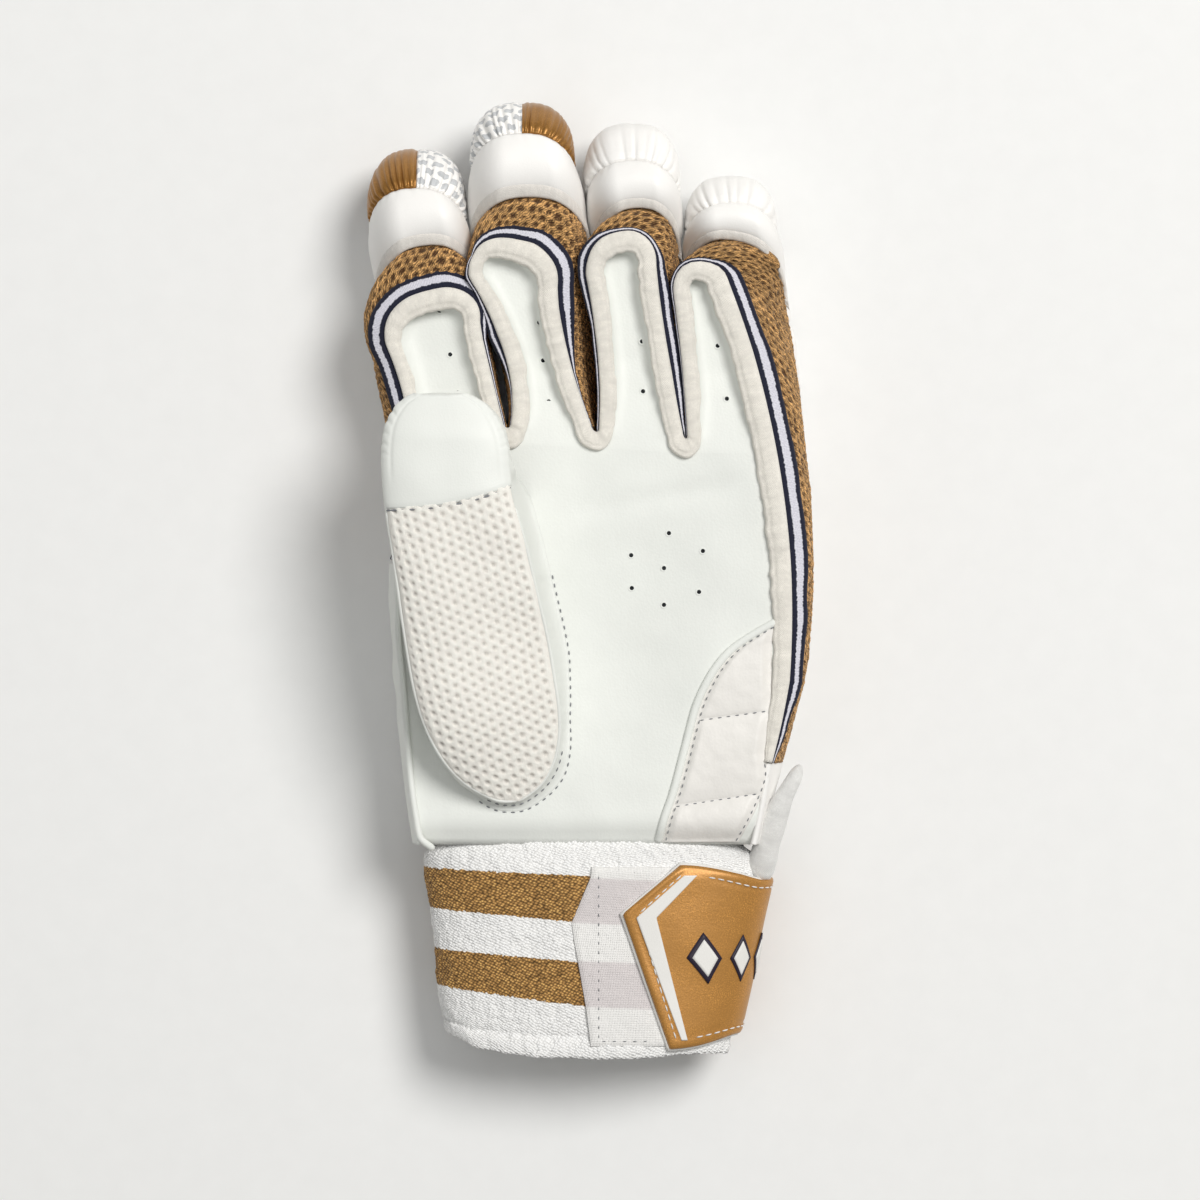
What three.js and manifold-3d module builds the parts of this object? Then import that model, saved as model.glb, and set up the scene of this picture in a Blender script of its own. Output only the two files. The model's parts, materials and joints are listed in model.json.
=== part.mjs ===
// Left-hand cricket batting glove, lying on its padded back with the palm up.
// Millimetres. +Z is up, +Y runs from the wrist to the fingertips, +X from the thumb side to the little finger.
// While it is drawn, y is 0 at the seam between hand and cuff; the last lines centre the finished glove.
import * as THREE from "three";
import Module from "manifold-3d";
import { mergeVertices } from "three/addons/utils/BufferGeometryUtils.js";

// Driving sizes
const HAND_WIDTH = 128; // across the hand and fingers
const HAND_LENGTH = 212; // wrist seam to the middle fingertip
const CUFF_LENGTH = 60.5;
const CUFF_HEIGHT = 30.5; // of the open end
const PAD_THICKNESS = 14; // rolls on the back of the hand
const HAND_DEPTH = 18; // clear height of the hand cavity
const LEATHER = 1.4;
const MESH_CLOTH = 1.2;
const TAPE = 0.9;
const BINDING = 1.8;
const PIPING = 2.6;
const TOWELLING = 2.8;
const STRAP = 1.2;
const CAP_WALL = 5; // foam round the fingertips
const FINGER_CURL = 8; // rise of the fingertips above the knuckles
const PALM_BOWL = 2.5; // dip in the middle of the palm
const THUMB_ROLL = 6; // padding under the thumb
const THUMB_DEPTH = 12; // clear height inside the thumb
const THUMB_CROWN = 4; // rise of the thumb's front over its edges
const THUMB_FRONT = 2; // spacer mesh and leather on the thumb's front
const SEAM = 0.35; // clearance between pieces

// Where things lie, as shares: x of half the hand's width, y of the hand's length above the wrist seam.
// A border lies between two fingers, from its top down to the valley where they part; the first and the last
// are the hand's own edges, down to where their side strips end.
const BORDERS = [
  { topX: -1, topY: 0.854, x: -0.867, y: 0.381, bow: 0.025, frontInset: 0.03 },
  { topX: -0.531, topY: 0.79, x: -0.348, y: 0.541, bow: 0.03, frontInset: 0.06 },
  { topX: -0.05, topY: 0.925, x: 0.053, y: 0.536, bow: 0.055, frontInset: 0.06 },
  { topX: 0.431, topY: 0.893, x: 0.452, y: 0.529, bow: 0, frontInset: 0.06 },
  { topX: 0.87, topY: 0.819, x: 0.891, y: 0.112, bow: 0.133, frontInset: 0.09 },
];
// "front" is the leather on the palm side, "foot" the lower edge of the mesh wall, "band" the seam over the tip.
const FINGERS = [
  {
    name: "index", tip: 0.939, endLength: 0.085, footTop: 0.813, footTilt: 0.1, bandTop: 0.888,
    frontLeft: -0.836, frontRight: -0.545, frontTop: 0.72, frontTilt: 0.23, bowLeft: 0.095, bowRight: 0,
  },
  {
    name: "middle", tip: 1, endLength: 0.075, footTop: 0.878, footTilt: 0, bandTop: 0.961,
    frontLeft: -0.468, frontRight: -0.211, frontTop: 0.789, frontTilt: -0.28, bowLeft: 0.094, bowRight: -0.03,
  },
  {
    name: "ring", tip: 0.973, endLength: 0.08, footTop: 0.862, footTilt: 0, bandTop: 0.925,
    frontLeft: 0.07, frontRight: 0.234, frontTop: 0.798, frontTilt: 0.2, bowLeft: 0.03, bowRight: -0.015,
  },
  {
    name: "little", tip: 0.899, endLength: 0.08, footTop: 0.818, footTilt: -0.2, bandTop: 0.869,
    frontLeft: 0.455, frontRight: 0.55, frontTop: 0.763, frontTilt: 0, bowLeft: 0.01, bowRight: 0.136,
  },
];
const WRIST = { left: -0.73, right: 0.735, lanes: [-0.73, -0.25, 0.03, 0.31, 0.735], bow: 0.09 };
const KNUCKLE = 0.49; // where the finger rolls start
const CURL_START = 0.55;
const FOOT_RISE = 0.8; // share of the height that the hood over a fingertip reaches
// Shares of the wall from the leather's edge to the padding that each trim covers
const BINDING_SPAN = [0, 0.37];
const TAPE_SPAN = [0.41, 0.64];
const ROLLS_PER_FINGER = 3;

// The thumb's outline: along is the share of its length from base to tip, mid and half are shares of half the
// hand's width, edge is the share of the full height that the side wall reaches on each side.
const THUMB = { base: 0.058, tip: 0.605 };
const THUMB_SECTIONS = [
  { along: 0, mid: -0.34, half: 0.03, edgeLeft: 0.12, edgeRight: 0.12 },
  { along: 0.05, mid: -0.36, half: 0.17, edgeLeft: 0.3, edgeRight: 0.16 },
  { along: 0.13, mid: -0.385, half: 0.265, edgeLeft: 0.55, edgeRight: 0.22 },
  { along: 0.25, mid: -0.415, half: 0.32, edgeLeft: 0.72, edgeRight: 0.3 },
  { along: 0.4, mid: -0.455, half: 0.33, edgeLeft: 0.85, edgeRight: 0.45 },
  { along: 0.6, mid: -0.53, half: 0.305, edgeLeft: 1, edgeRight: 0.8 },
  { along: 0.76, mid: -0.6, half: 0.275, edgeLeft: 1, edgeRight: 1 },
  { along: 0.9, mid: -0.62, half: 0.255, edgeLeft: 1, edgeRight: 1 },
  { along: 0.965, mid: -0.63, half: 0.19, edgeLeft: 1, edgeRight: 1 },
  { along: 1, mid: -0.635, half: 0.09, edgeLeft: 1, edgeRight: 1 },
];
const THUMB_FREE = 0.587; // share of its length where the thumb leaves the palm
const THUMB_STEPS = 18; // half way round the thumb
const THUMB_PATCH_STEP = 12; // where the leather tip starts
const THUMB_HOLE = { x: -0.42, y: 0.2, halfWidth: 0.2, halfLength: 0.075 };

// The heel patch on the palm, and the strap's pointed end as shares of the cuff's width and length
const HEEL_CURVE = [
  { x: 0.79, y: 0.3 },
  { x: 0.47, y: 0.24 },
  { x: 0.32, y: 0.012 },
];
const CUFF_NECK = 0.14; // share of the cuff's length over which it opens out
// The cuff's sides: far is the share of its length from the wrist seam, left and right are shares of half the
// hand's width.
const CUFF_SECTIONS = [
  { far: -0.05, left: -0.69, right: 0.69 },
  { far: 0.02, left: -0.7, right: 0.7 },
  { far: 0.08, left: -0.725, right: 0.77 },
  { far: CUFF_NECK, left: -0.735, right: 0.81 },
  { far: 1, left: -0.63, right: 0.64 },
];
const STRAP_END = [
  { x: 0.22, across: 0 },
  { x: 0.09, across: 0.73 },
  { x: 0.26, across: 1 },
];
const STRAP_TOP = [-CUFF_NECK, -CUFF_NECK - 0.03]; // share of the cuff's length at the point and at the back
const STRAP_BOTTOM = [-0.965, -0.915];
const STRAP_BACK_ANGLE = -105; // degrees round the cuff from the little-finger side
const LOOP_PATCH = { left: -0.03, right: 0.3, top: -CUFF_NECK, bottom: -0.955 };

const X = (share) => (share * HAND_WIDTH) / 2;
const Y = (share) => share * HAND_LENGTH;
const { lerp, clamp, smoothstep } = THREE.MathUtils;
const ease = (v) => smoothstep(v, 0, 1);
const mix = (a, b, t) => a.clone().lerp(b, t);

// Heights
const SHELL_BOTTOM = PAD_THICKNESS + SEAM;
const SHELL_TOP = SHELL_BOTTOM + LEATHER;
const PALM_TOP = SHELL_TOP + HAND_DEPTH + LEATHER;
const curl = (y) => FINGER_CURL * Math.max(0, (y / HAND_LENGTH - CURL_START) / (1 - CURL_START)) ** 2;
const bowl = (x, y) =>
  PALM_BOWL * Math.exp(-((x / X(0.55)) ** 2) - ((y - Y(0.3)) / Y(0.17)) ** 2);
const palmHeight = (x, y) => PALM_TOP + curl(y) - bowl(x, y);

// Evenly spaced values from 0 to 1
const steps = (n) => Array.from({ length: n + 1 }, (_, i) => i / n);

// The number of the row of a table that ends the span a value lies in
function spanEnd(table, key, value) {
  const next = table.findIndex((row) => row[key] > value);
  return next < 0 ? table.length - 1 : Math.max(next, 1);
}

// A closed body between two sheets, each a function of u and v that gives a point; ring joins the last u to the first.
function slab(outer, inner, us, vs, ring = false) {
  const position = [];
  const index = [];
  const columns = vs.length;
  const rows = us.length;
  for (const sheet of [outer, inner])
    for (const u of us) for (const v of vs) position.push(...sheet(u, v).toArray());
  const at = (layer, i, j) => (layer * rows + (i % rows)) * columns + j;
  const quad = (a, b, c, d) => index.push(a, b, c, a, c, d);
  const spans = ring ? rows : rows - 1;
  for (let i = 0; i < spans; i++) {
    for (let j = 0; j < columns - 1; j++) {
      quad(at(0, i, j), at(0, i + 1, j), at(0, i + 1, j + 1), at(0, i, j + 1));
      quad(at(1, i, j), at(1, i, j + 1), at(1, i + 1, j + 1), at(1, i + 1, j));
    }
    const last = columns - 1;
    quad(at(0, i, 0), at(1, i, 0), at(1, i + 1, 0), at(0, i + 1, 0));
    quad(at(0, i, last), at(0, i + 1, last), at(1, i + 1, last), at(1, i, last));
  }
  if (!ring)
    for (let j = 0; j < columns - 1; j++) {
      const last = rows - 1;
      quad(at(0, 0, j), at(0, 0, j + 1), at(1, 0, j + 1), at(1, 0, j));
      quad(at(0, last, j), at(1, last, j), at(1, last, j + 1), at(0, last, j + 1));
    }
  return facingOut(closed(position, index));
}

function closed(position, index) {
  const geometry = new THREE.BufferGeometry();
  geometry.setAttribute("position", new THREE.Float32BufferAttribute(position, 3));
  geometry.setIndex(index);
  return geometry;
}

// Turns every triangle round if the body is inside out.
function facingOut(geometry) {
  const p = geometry.getAttribute("position");
  const index = geometry.getIndex().array;
  const [a, b, c] = [new THREE.Vector3(), new THREE.Vector3(), new THREE.Vector3()];
  let volume = 0;
  for (let i = 0; i < index.length; i += 3) {
    a.fromBufferAttribute(p, index[i]);
    b.fromBufferAttribute(p, index[i + 1]);
    c.fromBufferAttribute(p, index[i + 2]);
    volume += a.dot(b.cross(c));
  }
  if (volume < 0)
    for (let i = 0; i < index.length; i += 3) [index[i + 1], index[i + 2]] = [index[i + 2], index[i + 1]];
  return geometry;
}

// The sheet at a distance from a surface, on the side that faces away from a core point.
function raised(surface, core, distance) {
  const E = 0.004;
  return (u, v) => {
    const p = surface(u, v);
    const du = surface(u + E, v).sub(surface(u - E, v));
    const dv = surface(u, v + E).sub(surface(u, v - E));
    const normal = du.cross(dv).normalize();
    if (normal.dot(p.clone().sub(core(u, v))) < 0) normal.negate();
    return p.addScaledVector(normal, typeof distance === "function" ? distance(u, v) : distance);
  };
}

// An arch-shaped outline of a finger: from the left valley at t = -1, up the side, round the end at t = 0 and
// down to the right valley at t = 1. The end is a superellipse.
const ARCH_STEPS = 24;
const END_SHARE = 10 / ARCH_STEPS;
const END_POWER = 2 / 2.7;
const archSteps = (n) => steps(n).map((s) => 2 * s - 1);
function arch(ring, t) {
  const side = t < 0 ? -1 : 1;
  const a = Math.min(Math.abs(t), 1);
  if (a > END_SHARE) return sidePoint(ring, side, (a - END_SHARE) / (1 - END_SHARE));
  const [left, right] = [sideX(ring, -1, ring.shoulder), sideX(ring, 1, ring.shoulder)];
  const turn = ((a / END_SHARE) * Math.PI) / 2;
  const across = side * Math.sin(turn) ** END_POWER;
  const y = ring.shoulder + (ring.top - ring.shoulder) * Math.max(0, Math.cos(turn)) ** END_POWER;
  return new THREE.Vector2((left + right) / 2 + ((right - left) / 2) * across, y + (ring.tilt * across * (right - left)) / 2);
}

// A point on a finger's side: b is 0 at the shoulder of the arch and 1 at the valley.
function sidePoint(ring, side, b) {
  const y = lerp(ring.shoulder, ring.valleyY(side), b);
  const tilt = (ring.tilt * side * (sideX(ring, 1, ring.shoulder) - sideX(ring, -1, ring.shoulder))) / 2;
  return new THREE.Vector2(sideX(ring, side, y), y + tilt * (1 - b) ** 2);
}

// The x of an outline's side at a height y, down to its valley.
function sideX(ring, side, y) {
  return ring.sideAt(side, Math.max(y, ring.valleyY(side)));
}

// The x of a border at a height y; above its top it runs straight up
function borderX(k, y) {
  const border = BORDERS[k];
  const b = Math.max(0, (Y(border.topY) - y) / (Y(border.topY) - Y(border.y)));
  return lerp(X(border.topX), X(border.x), b) + X(border.bow) * 4 * b * (1 - b);
}

// The outlines of one finger, from the leather front out to the padding.
function outlines(i) {
  const f = FINGERS[i];
  const valleyY = (side) => Y(BORDERS[side < 0 ? i : i + 1].y);
  const along = (inset, top, endLength, tilt) => ({
    top,
    shoulder: top - endLength,
    tilt,
    valleyY,
    sideAt: (side, y) => borderX(side < 0 ? i : i + 1, y) - side * inset,
  });
  const foot = MESH_CLOTH + 2 * SEAM;
  const frontHalf = (X(f.frontRight) - X(f.frontLeft)) / 2;
  const front = along(0, Y(f.frontTop), Math.min(frontHalf, Y(0.03)), f.frontTilt);
  front.sideAt = (side, y) => {
    const border = BORDERS[side < 0 ? i : i + 1];
    const b = clamp((front.shoulder - y) / (front.shoulder - Y(border.y)), 0, 1);
    const start = X(side < 0 ? f.frontLeft : f.frontRight);
    const bow = X(side < 0 ? f.bowLeft : f.bowRight);
    return lerp(start, X(border.x) - side * X(border.frontInset), b) + bow * 4 * b * (1 - b);
  };
  return {
    front,
    foot: along(foot, Y(f.footTop) - foot, Y(0.055), f.footTilt),
    lip: along(SEAM, Y(f.footTop), Y(0.055), f.footTilt),
    band: along(SEAM, Y(f.bandTop), Y(0.04), 0),
    outer: along(SEAM, Y(f.tip), Y(f.endLength), 0),
  };
}
const OUTLINES = FINGERS.map((_, i) => outlines(i));

// The hand's left or right edge below the fingers, for the leather ("front") or the padding ("outer").
function handEdge(kind, side, y) {
  const ring = OUTLINES[side < 0 ? 0 : FINGERS.length - 1][kind];
  const valleyY = ring.valleyY(side);
  if (y >= valleyY) return sideX(ring, side, y);
  const start = sideX(ring, side, valleyY);
  const b = 1 - y / valleyY;
  return lerp(start, X(side < 0 ? WRIST.left : WRIST.right), b) + (side < 0 ? -1 : 0.3) * X(WRIST.bow) * b * (1 - b);
}

// A hand-shaped sheet of four lanes that part at the valleys. It runs from y = start at the wrist to the finger
// ends; height(x, y, across, rise) is its top, across the lane from 0 to 1 and up the finger from 0 to 1.
function handSheet(kind, start, columns, palmRows, fingerRows, roundEnds, height, thickness) {
  const rows = [...steps(palmRows).map((s) => ({ palm: s })), ...fingerRows.map((s) => ({ finger: s }))];
  const inset = SEAM;
  const edgeOf = (lane, side, row) => {
    const ring = OUTLINES[lane][kind];
    const outside = (lane === 0 && side < 0) || (lane === FINGERS.length - 1 && side > 0);
    const crotch = outside ? (side < 0 ? BORDERS[1] : BORDERS[3]) : BORDERS[side < 0 ? lane : lane + 1];
    const crotchY = Y(crotch.y);
    if (row.palm !== undefined) {
      const y = lerp(start, crotchY - inset * 8, row.palm);
      if (outside) return new THREE.Vector2(handEdge(kind, side, y) - side * inset, y);
      const wristX = X(WRIST.lanes[side < 0 ? lane : lane + 1]);
      return new THREE.Vector2(lerp(wristX, X(crotch.x), Math.max(0, y) / crotchY), y);
    }
    if (row.finger <= 1) {
      const y = lerp(crotchY, ring.shoulder, row.finger);
      const p = sidePoint(ring, side, (ring.shoulder - y) / (ring.shoulder - ring.valleyY(side)));
      return new THREE.Vector2(p.x - side * inset, p.y);
    }
    const p = arch(ring, side * END_SHARE * (2 - row.finger));
    return new THREE.Vector2(p.x - side * inset, p.y - inset);
  };
  const kept = roundEnds ? rows : rows.filter((r) => r.finger === undefined || r.finger <= 1);
  const position = [];
  const index = [];
  const seen = new Map();
  const vertex = (p) => {
    const key = p.toArray().map((n) => n.toFixed(3)).join();
    if (!seen.has(key)) {
      seen.set(key, position.length / 3);
      position.push(...p.toArray());
    }
    return seen.get(key);
  };
  const quad = (a, b, c, d) => index.push(a, b, c, a, c, d);
  FINGERS.forEach((_, lane) => {
    const grid = kept.map((row) =>
      steps(columns).map((across) => {
        const p = edgeOf(lane, -1, row).lerp(edgeOf(lane, 1, row), across);
        const z = height(p.x, p.y, across, row.palm !== undefined ? 0 : Math.min(row.finger * 2, 1));
        return [vertex(new THREE.Vector3(p.x, p.y, z)), vertex(new THREE.Vector3(p.x, p.y, z - thickness))];
      }),
    );
    const wall = (a, b) => quad(a[0], a[1], b[1], b[0]);
    for (let r = 0; r < kept.length - 1; r++) {
      for (let c = 0; c < columns; c++) {
        const [a, b, d, e] = [grid[r][c], grid[r][c + 1], grid[r + 1][c + 1], grid[r + 1][c]];
        quad(a[0], b[0], d[0], e[0]);
        quad(a[1], e[1], d[1], b[1]);
      }
      const parted = kept[r].palm === undefined || kept[r + 1].palm === undefined;
      if (parted || lane === 0) wall(grid[r + 1][0], grid[r][0]);
      if (parted || lane === FINGERS.length - 1) wall(grid[r][columns], grid[r + 1][columns]);
    }
    for (let c = 0; c < columns; c++) {
      wall(grid[0][c], grid[0][c + 1]);
      wall(grid.at(-1)[c + 1], grid.at(-1)[c]);
    }
  });
  return facingOut(closed(position, index));
}

const wasm = await Module();
wasm.setup();
function asSolid(geometry) {
  const bare = geometry.clone();
  for (const name of ["normal", "uv"]) bare.deleteAttribute(name);
  const merged = mergeVertices(bare, 1e-4);
  return new wasm.Manifold(
    new wasm.Mesh({
      numProp: 3,
      vertProperties: merged.getAttribute("position").array,
      triVerts: new Uint32Array(merged.getIndex().array),
    }),
  );
}
function asGeometry(solid) {
  const mesh = solid.getMesh();
  return closed(Array.from(mesh.vertProperties), Array.from(mesh.triVerts));
}

// Materials
const paint = (color, roughness = 0.8, metalness = 0) =>
  new THREE.MeshStandardMaterial({ color, roughness, metalness });
const palmWhite = paint(0xe6eae4, 0.55);
const padWhite = paint(0xf1efec, 0.5);
const bindingCream = paint(0xebe3dc, 0.9);
const tapeNavy = paint(0x2a2b3a, 0.85);
const bronzeMesh = paint(0xa9762f, 0.8);
const spacerWhite = paint(0xefe9e3, 0.9);
const towelWhite = paint(0xf2f0ec, 1);
const strapBronze = paint(0xb07a2e, 0.4, 0.3);

const glove = new THREE.Group();
function add(name, geometry, material) {
  geometry.computeVertexNormals();
  const mesh = new THREE.Mesh(geometry, material);
  mesh.name = name;
  glove.add(mesh);
}

// Palm leather: one hide with four finger fronts, each sunk a little in the middle, and a hole to the thumb
function palmLeather() {
  const TROUGH = 1.2;
  const height = (x, y, across, rise) => palmHeight(x, y) - TROUGH * rise * (1 - (2 * across - 1) ** 2);
  // The same points as on the wall round it
  const rise = (t) => (t > END_SHARE ? 1 - (t - END_SHARE) / (1 - END_SHARE) : 2 - t / END_SHARE);
  const rows = archSteps(ARCH_STEPS).filter((t) => t > 0.001).map(rise).reverse();
  const hide = handSheet("front", SEAM, 2, 7, rows, true, height, LEATHER);
  const hole = new THREE.CylinderGeometry(1, 1, 4 * PALM_TOP, 24).rotateX(Math.PI / 2);
  hole.scale(X(THUMB_HOLE.halfWidth), Y(THUMB_HOLE.halfLength), 1);
  hole.translate(X(THUMB_HOLE.x), Y(THUMB_HOLE.y), 0);
  return asGeometry(asSolid(hide).subtract(asSolid(hole)));
}

// Shell under the hand that carries the rolls
function backShell() {
  const height = (x, y) => SHELL_TOP + curl(y);
  return handSheet("foot", SEAM, 2, 4, [0, 0.33, 0.66, 1], false, height, LEATHER);
}

// The wall from the leather's edge (v = 0) out and down to the padding (v = 1)
function wallSurface(i) {
  const { front, foot } = OUTLINES[i];
  const BULGE = 1.6;
  return (t, v) => {
    const a = arch(front, t);
    const b = arch(foot, t);
    const end = 1 - smoothstep(Math.abs(t), END_SHARE * 0.2, END_SHARE * 1.15);
    const low = SHELL_TOP + SEAM + curl(b.y);
    const high = lerp(low, palmHeight(b.x, b.y), FOOT_RISE);
    const top = new THREE.Vector3(a.x, a.y, palmHeight(a.x, a.y));
    const bottom = new THREE.Vector3(b.x, b.y, lerp(low, high, end));
    const p = top.lerp(bottom, v);
    p.z += BULGE * Math.sin(Math.PI * clamp(v, 0, 1));
    return p;
  };
}
const fingerCore = (i) => (t) => {
  const { foot } = OUTLINES[i];
  const y = Math.min(arch(foot, t).y, foot.shoulder);
  return new THREE.Vector3((sideX(foot, -1, y) + sideX(foot, 1, y)) / 2, y, SHELL_TOP);
};

function fingerWall(i) {
  const wall = wallSurface(i);
  return slab(raised(wall, fingerCore(i), MESH_CLOTH), wall, archSteps(ARCH_STEPS), [0, 0.5, 1]);
}

// A band of tape or binding laid on the wall
function trim(i, [from, to], thickness) {
  const wall = wallSurface(i);
  const rest = MESH_CLOTH + 1.5 * SEAM;
  const crown = (t, v) => rest + thickness * (0.55 + 0.45 * Math.sin((Math.PI * (v - from)) / (to - from)));
  const columns = thickness > TAPE ? [from, (from + to) / 2, to] : [from, to];
  const [over, under] = [raised(wall, fingerCore(i), crown), raised(wall, fingerCore(i), rest)];
  return slab(over, under, archSteps(ARCH_STEPS), columns);
}

// The foam hood over a fingertip. Its outside runs from the lip (r = 0) over the seam (r = 1) and round the end
// (r = 2) to the underside (r = 3); the inside is nearer to the core by the foam's thickness.
function hoodSurface(i) {
  const { lip, band, outer } = OUTLINES[i];
  const { shoulder } = outer;
  const mid = (sideX(outer, -1, shoulder) + sideX(outer, 1, shoulder)) / 2;
  const at = (p, z) => new THREE.Vector3(p.x, p.y, z);
  const rise = (t) => 1 - smoothstep(Math.abs(t), END_SHARE * 0.2, END_SHARE);
  return (t, r) => {
    const lift = curl(shoulder);
    const low = SHELL_TOP + SEAM * 3;
    const high = lerp(low, PALM_TOP, FOOT_RISE) + MESH_CLOTH;
    const rings = [
      at(arch(lip, t), lerp(low, high, rise(t)) + lift),
      at(arch(band, t), lerp(low, high - 1, rise(t) ** 0.6) + lift),
      at(arch(outer, t), SHELL_TOP * 0.8 + lift),
      at(arch(outer, t), lift + 1),
    ];
    rings[3].x = mid + (rings[3].x - mid) * 0.8;
    rings[3].y = shoulder + (rings[3].y - shoulder) * 0.06;
    const k = Math.min(Math.floor(r), 2);
    const f = r - k;
    const p = mix(rings[k], rings[k + 1], f);
    const swell = k === 0 ? 2.2 : k === 1 ? 3.2 : 3.4;
    const away = p.clone().sub(new THREE.Vector3(mid, shoulder, SHELL_TOP + lift)).normalize();
    return p.addScaledVector(away, swell * Math.sin(Math.PI * f) * rise(t));
  };
}
function hoodPart(i, from, to, rows) {
  const { outer } = OUTLINES[i];
  const hood = hoodSurface(i);
  const { shoulder } = outer;
  const mid = (sideX(outer, -1, shoulder) + sideX(outer, 1, shoulder)) / 2;
  const core = new THREE.Vector3(mid, shoulder, SHELL_TOP + 2 + curl(shoulder));
  const inner = (t, r) => {
    const p = hood(t, r);
    return mix(p, core, Math.min(CAP_WALL / p.distanceTo(core), 0.6));
  };
  const ts = archSteps(12).map((t) => t * END_SHARE * 0.97);
  return slab(hood, inner, ts, steps(rows).map((s) => lerp(from, to, s)));
}

// A sausage roll: flat on the shell, round below, and pinched at its ends
function roll(left, right, y0, y1, top, thickness, columns = 6, rows = 4) {
  const EDGE = 0.12;
  const PINCH = 0.38;
  const LEVEL = [0.2, 1 / 3]; // middle shares of its length and width that are level
  const beyond = (w, level) => Math.max(0, Math.abs(2 * w - 1) - level - 1e-6) / (1 - level);
  const place = (u, v) => {
    const y = lerp(y0, y1, u);
    const narrow = 0.6 * Math.abs(2 * u - 1) ** 4;
    return new THREE.Vector3(lerp(left(y) + narrow, right(y) - narrow, v), y, top(y));
  };
  const depth = (u, v) => {
    const round = Math.sqrt(Math.max(0, 1 - beyond(v, LEVEL[1]) ** 2.4));
    const along = 1 - PINCH * beyond(u, LEVEL[0]) ** 3.5;
    return thickness * (EDGE + (1 - EDGE) * round) * along;
  };
  const below = (u, v) => place(u, v).add(new THREE.Vector3(0, 0, -depth(u, v)));
  return slab(place, below, steps(rows), steps(columns));
}
const rollTop = (y) => PAD_THICKNESS + curl(y);

function fingerRolls(i) {
  const { outer } = OUTLINES[i];
  const start = Y(KNUCKLE);
  const end = outer.shoulder - SEAM;
  const edge = (side) => (y) => sideX(outer, side, y);
  const pitch = (end - start) / ROLLS_PER_FINGER;
  for (let k = 0; k < ROLLS_PER_FINGER; k++) {
    const y0 = start + k * pitch;
    add(
      `${FINGERS[i].name}_roll_${k + 1}`,
      roll(edge(-1), edge(1), y0 + SEAM, y0 + pitch - SEAM, rollTop, PAD_THICKNESS),
      padWhite,
    );
  }
}

// Long rolls on the back of the hand, one behind each finger, and one across the wrist
function handRolls() {
  const low = Y(0.14);
  const laneX = (lane, side) => (y) => {
    const k = side < 0 ? lane : lane + 1;
    if (k === 0 || k === FINGERS.length) return handEdge("outer", k === 0 ? -1 : 1, y) - side * SEAM;
    return lerp(X(WRIST.lanes[k]), X(BORDERS[k].x), y / Y(BORDERS[k].y)) - side * SEAM;
  };
  FINGERS.forEach((f, i) => {
    const top = Y(KNUCKLE) - SEAM;
    add(`${f.name}_hand_roll`, roll(laneX(i, -1), laneX(i, 1), low, top, rollTop, PAD_THICKNESS, 6, 5), padWhite);
  });
  const left = (y) => handEdge("outer", -1, y) + SEAM;
  const right = (y) => handEdge("outer", 1, y) - SEAM;
  add("wrist_roll", roll(left, right, Y(0.015), low - 2 * SEAM, rollTop, PAD_THICKNESS, 8, 4), padWhite);
}

// Side wall of the hand between the palm's edge and the shell, with y from low to high
function sideWall(side, low, high) {
  const at = (u, v) => {
    const y = lerp(low, high, u);
    const top = new THREE.Vector3(handEdge("front", side, y), y, palmHeight(handEdge("front", side, y), y));
    const foot = new THREE.Vector3(handEdge("foot", side, y), y, SHELL_TOP + SEAM);
    const p = top.lerp(foot, v);
    p.x += side * 2 * Math.sin(Math.PI * clamp(v, 0, 1));
    return p;
  };
  const core = () => new THREE.Vector3(0, (low + high) / 2, SHELL_TOP);
  return { at, core };
}
function sidePanel(side, low, high) {
  const { at, core } = sideWall(side, low, high);
  return slab(raised(at, core, LEATHER), at, steps(6), [0, 0.5, 1]);
}
// A round bead along a path
function bead(path, radius, count) {
  const curve = new THREE.CatmullRomCurve3(path);
  const sides = 6;
  const section = new THREE.Shape();
  for (let k = 0; k < sides; k++) {
    const a = (2 * Math.PI * k) / sides;
    if (k) section.lineTo(radius * Math.cos(a), radius * Math.sin(a));
    else section.moveTo(radius, 0);
  }
  return new THREE.ExtrudeGeometry(section, { steps: count, extrudePath: curve, bevelEnabled: false });
}
function beadOnEdge(side, low, high) {
  const r = PIPING / 2;
  return steps(6).map((s) => {
    const y = lerp(low, high, s);
    const x = handEdge("front", side, y);
    return new THREE.Vector3(x + side * (r * 0.4), y, palmHeight(x, y) + r + 2 * SEAM);
  });
}

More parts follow.
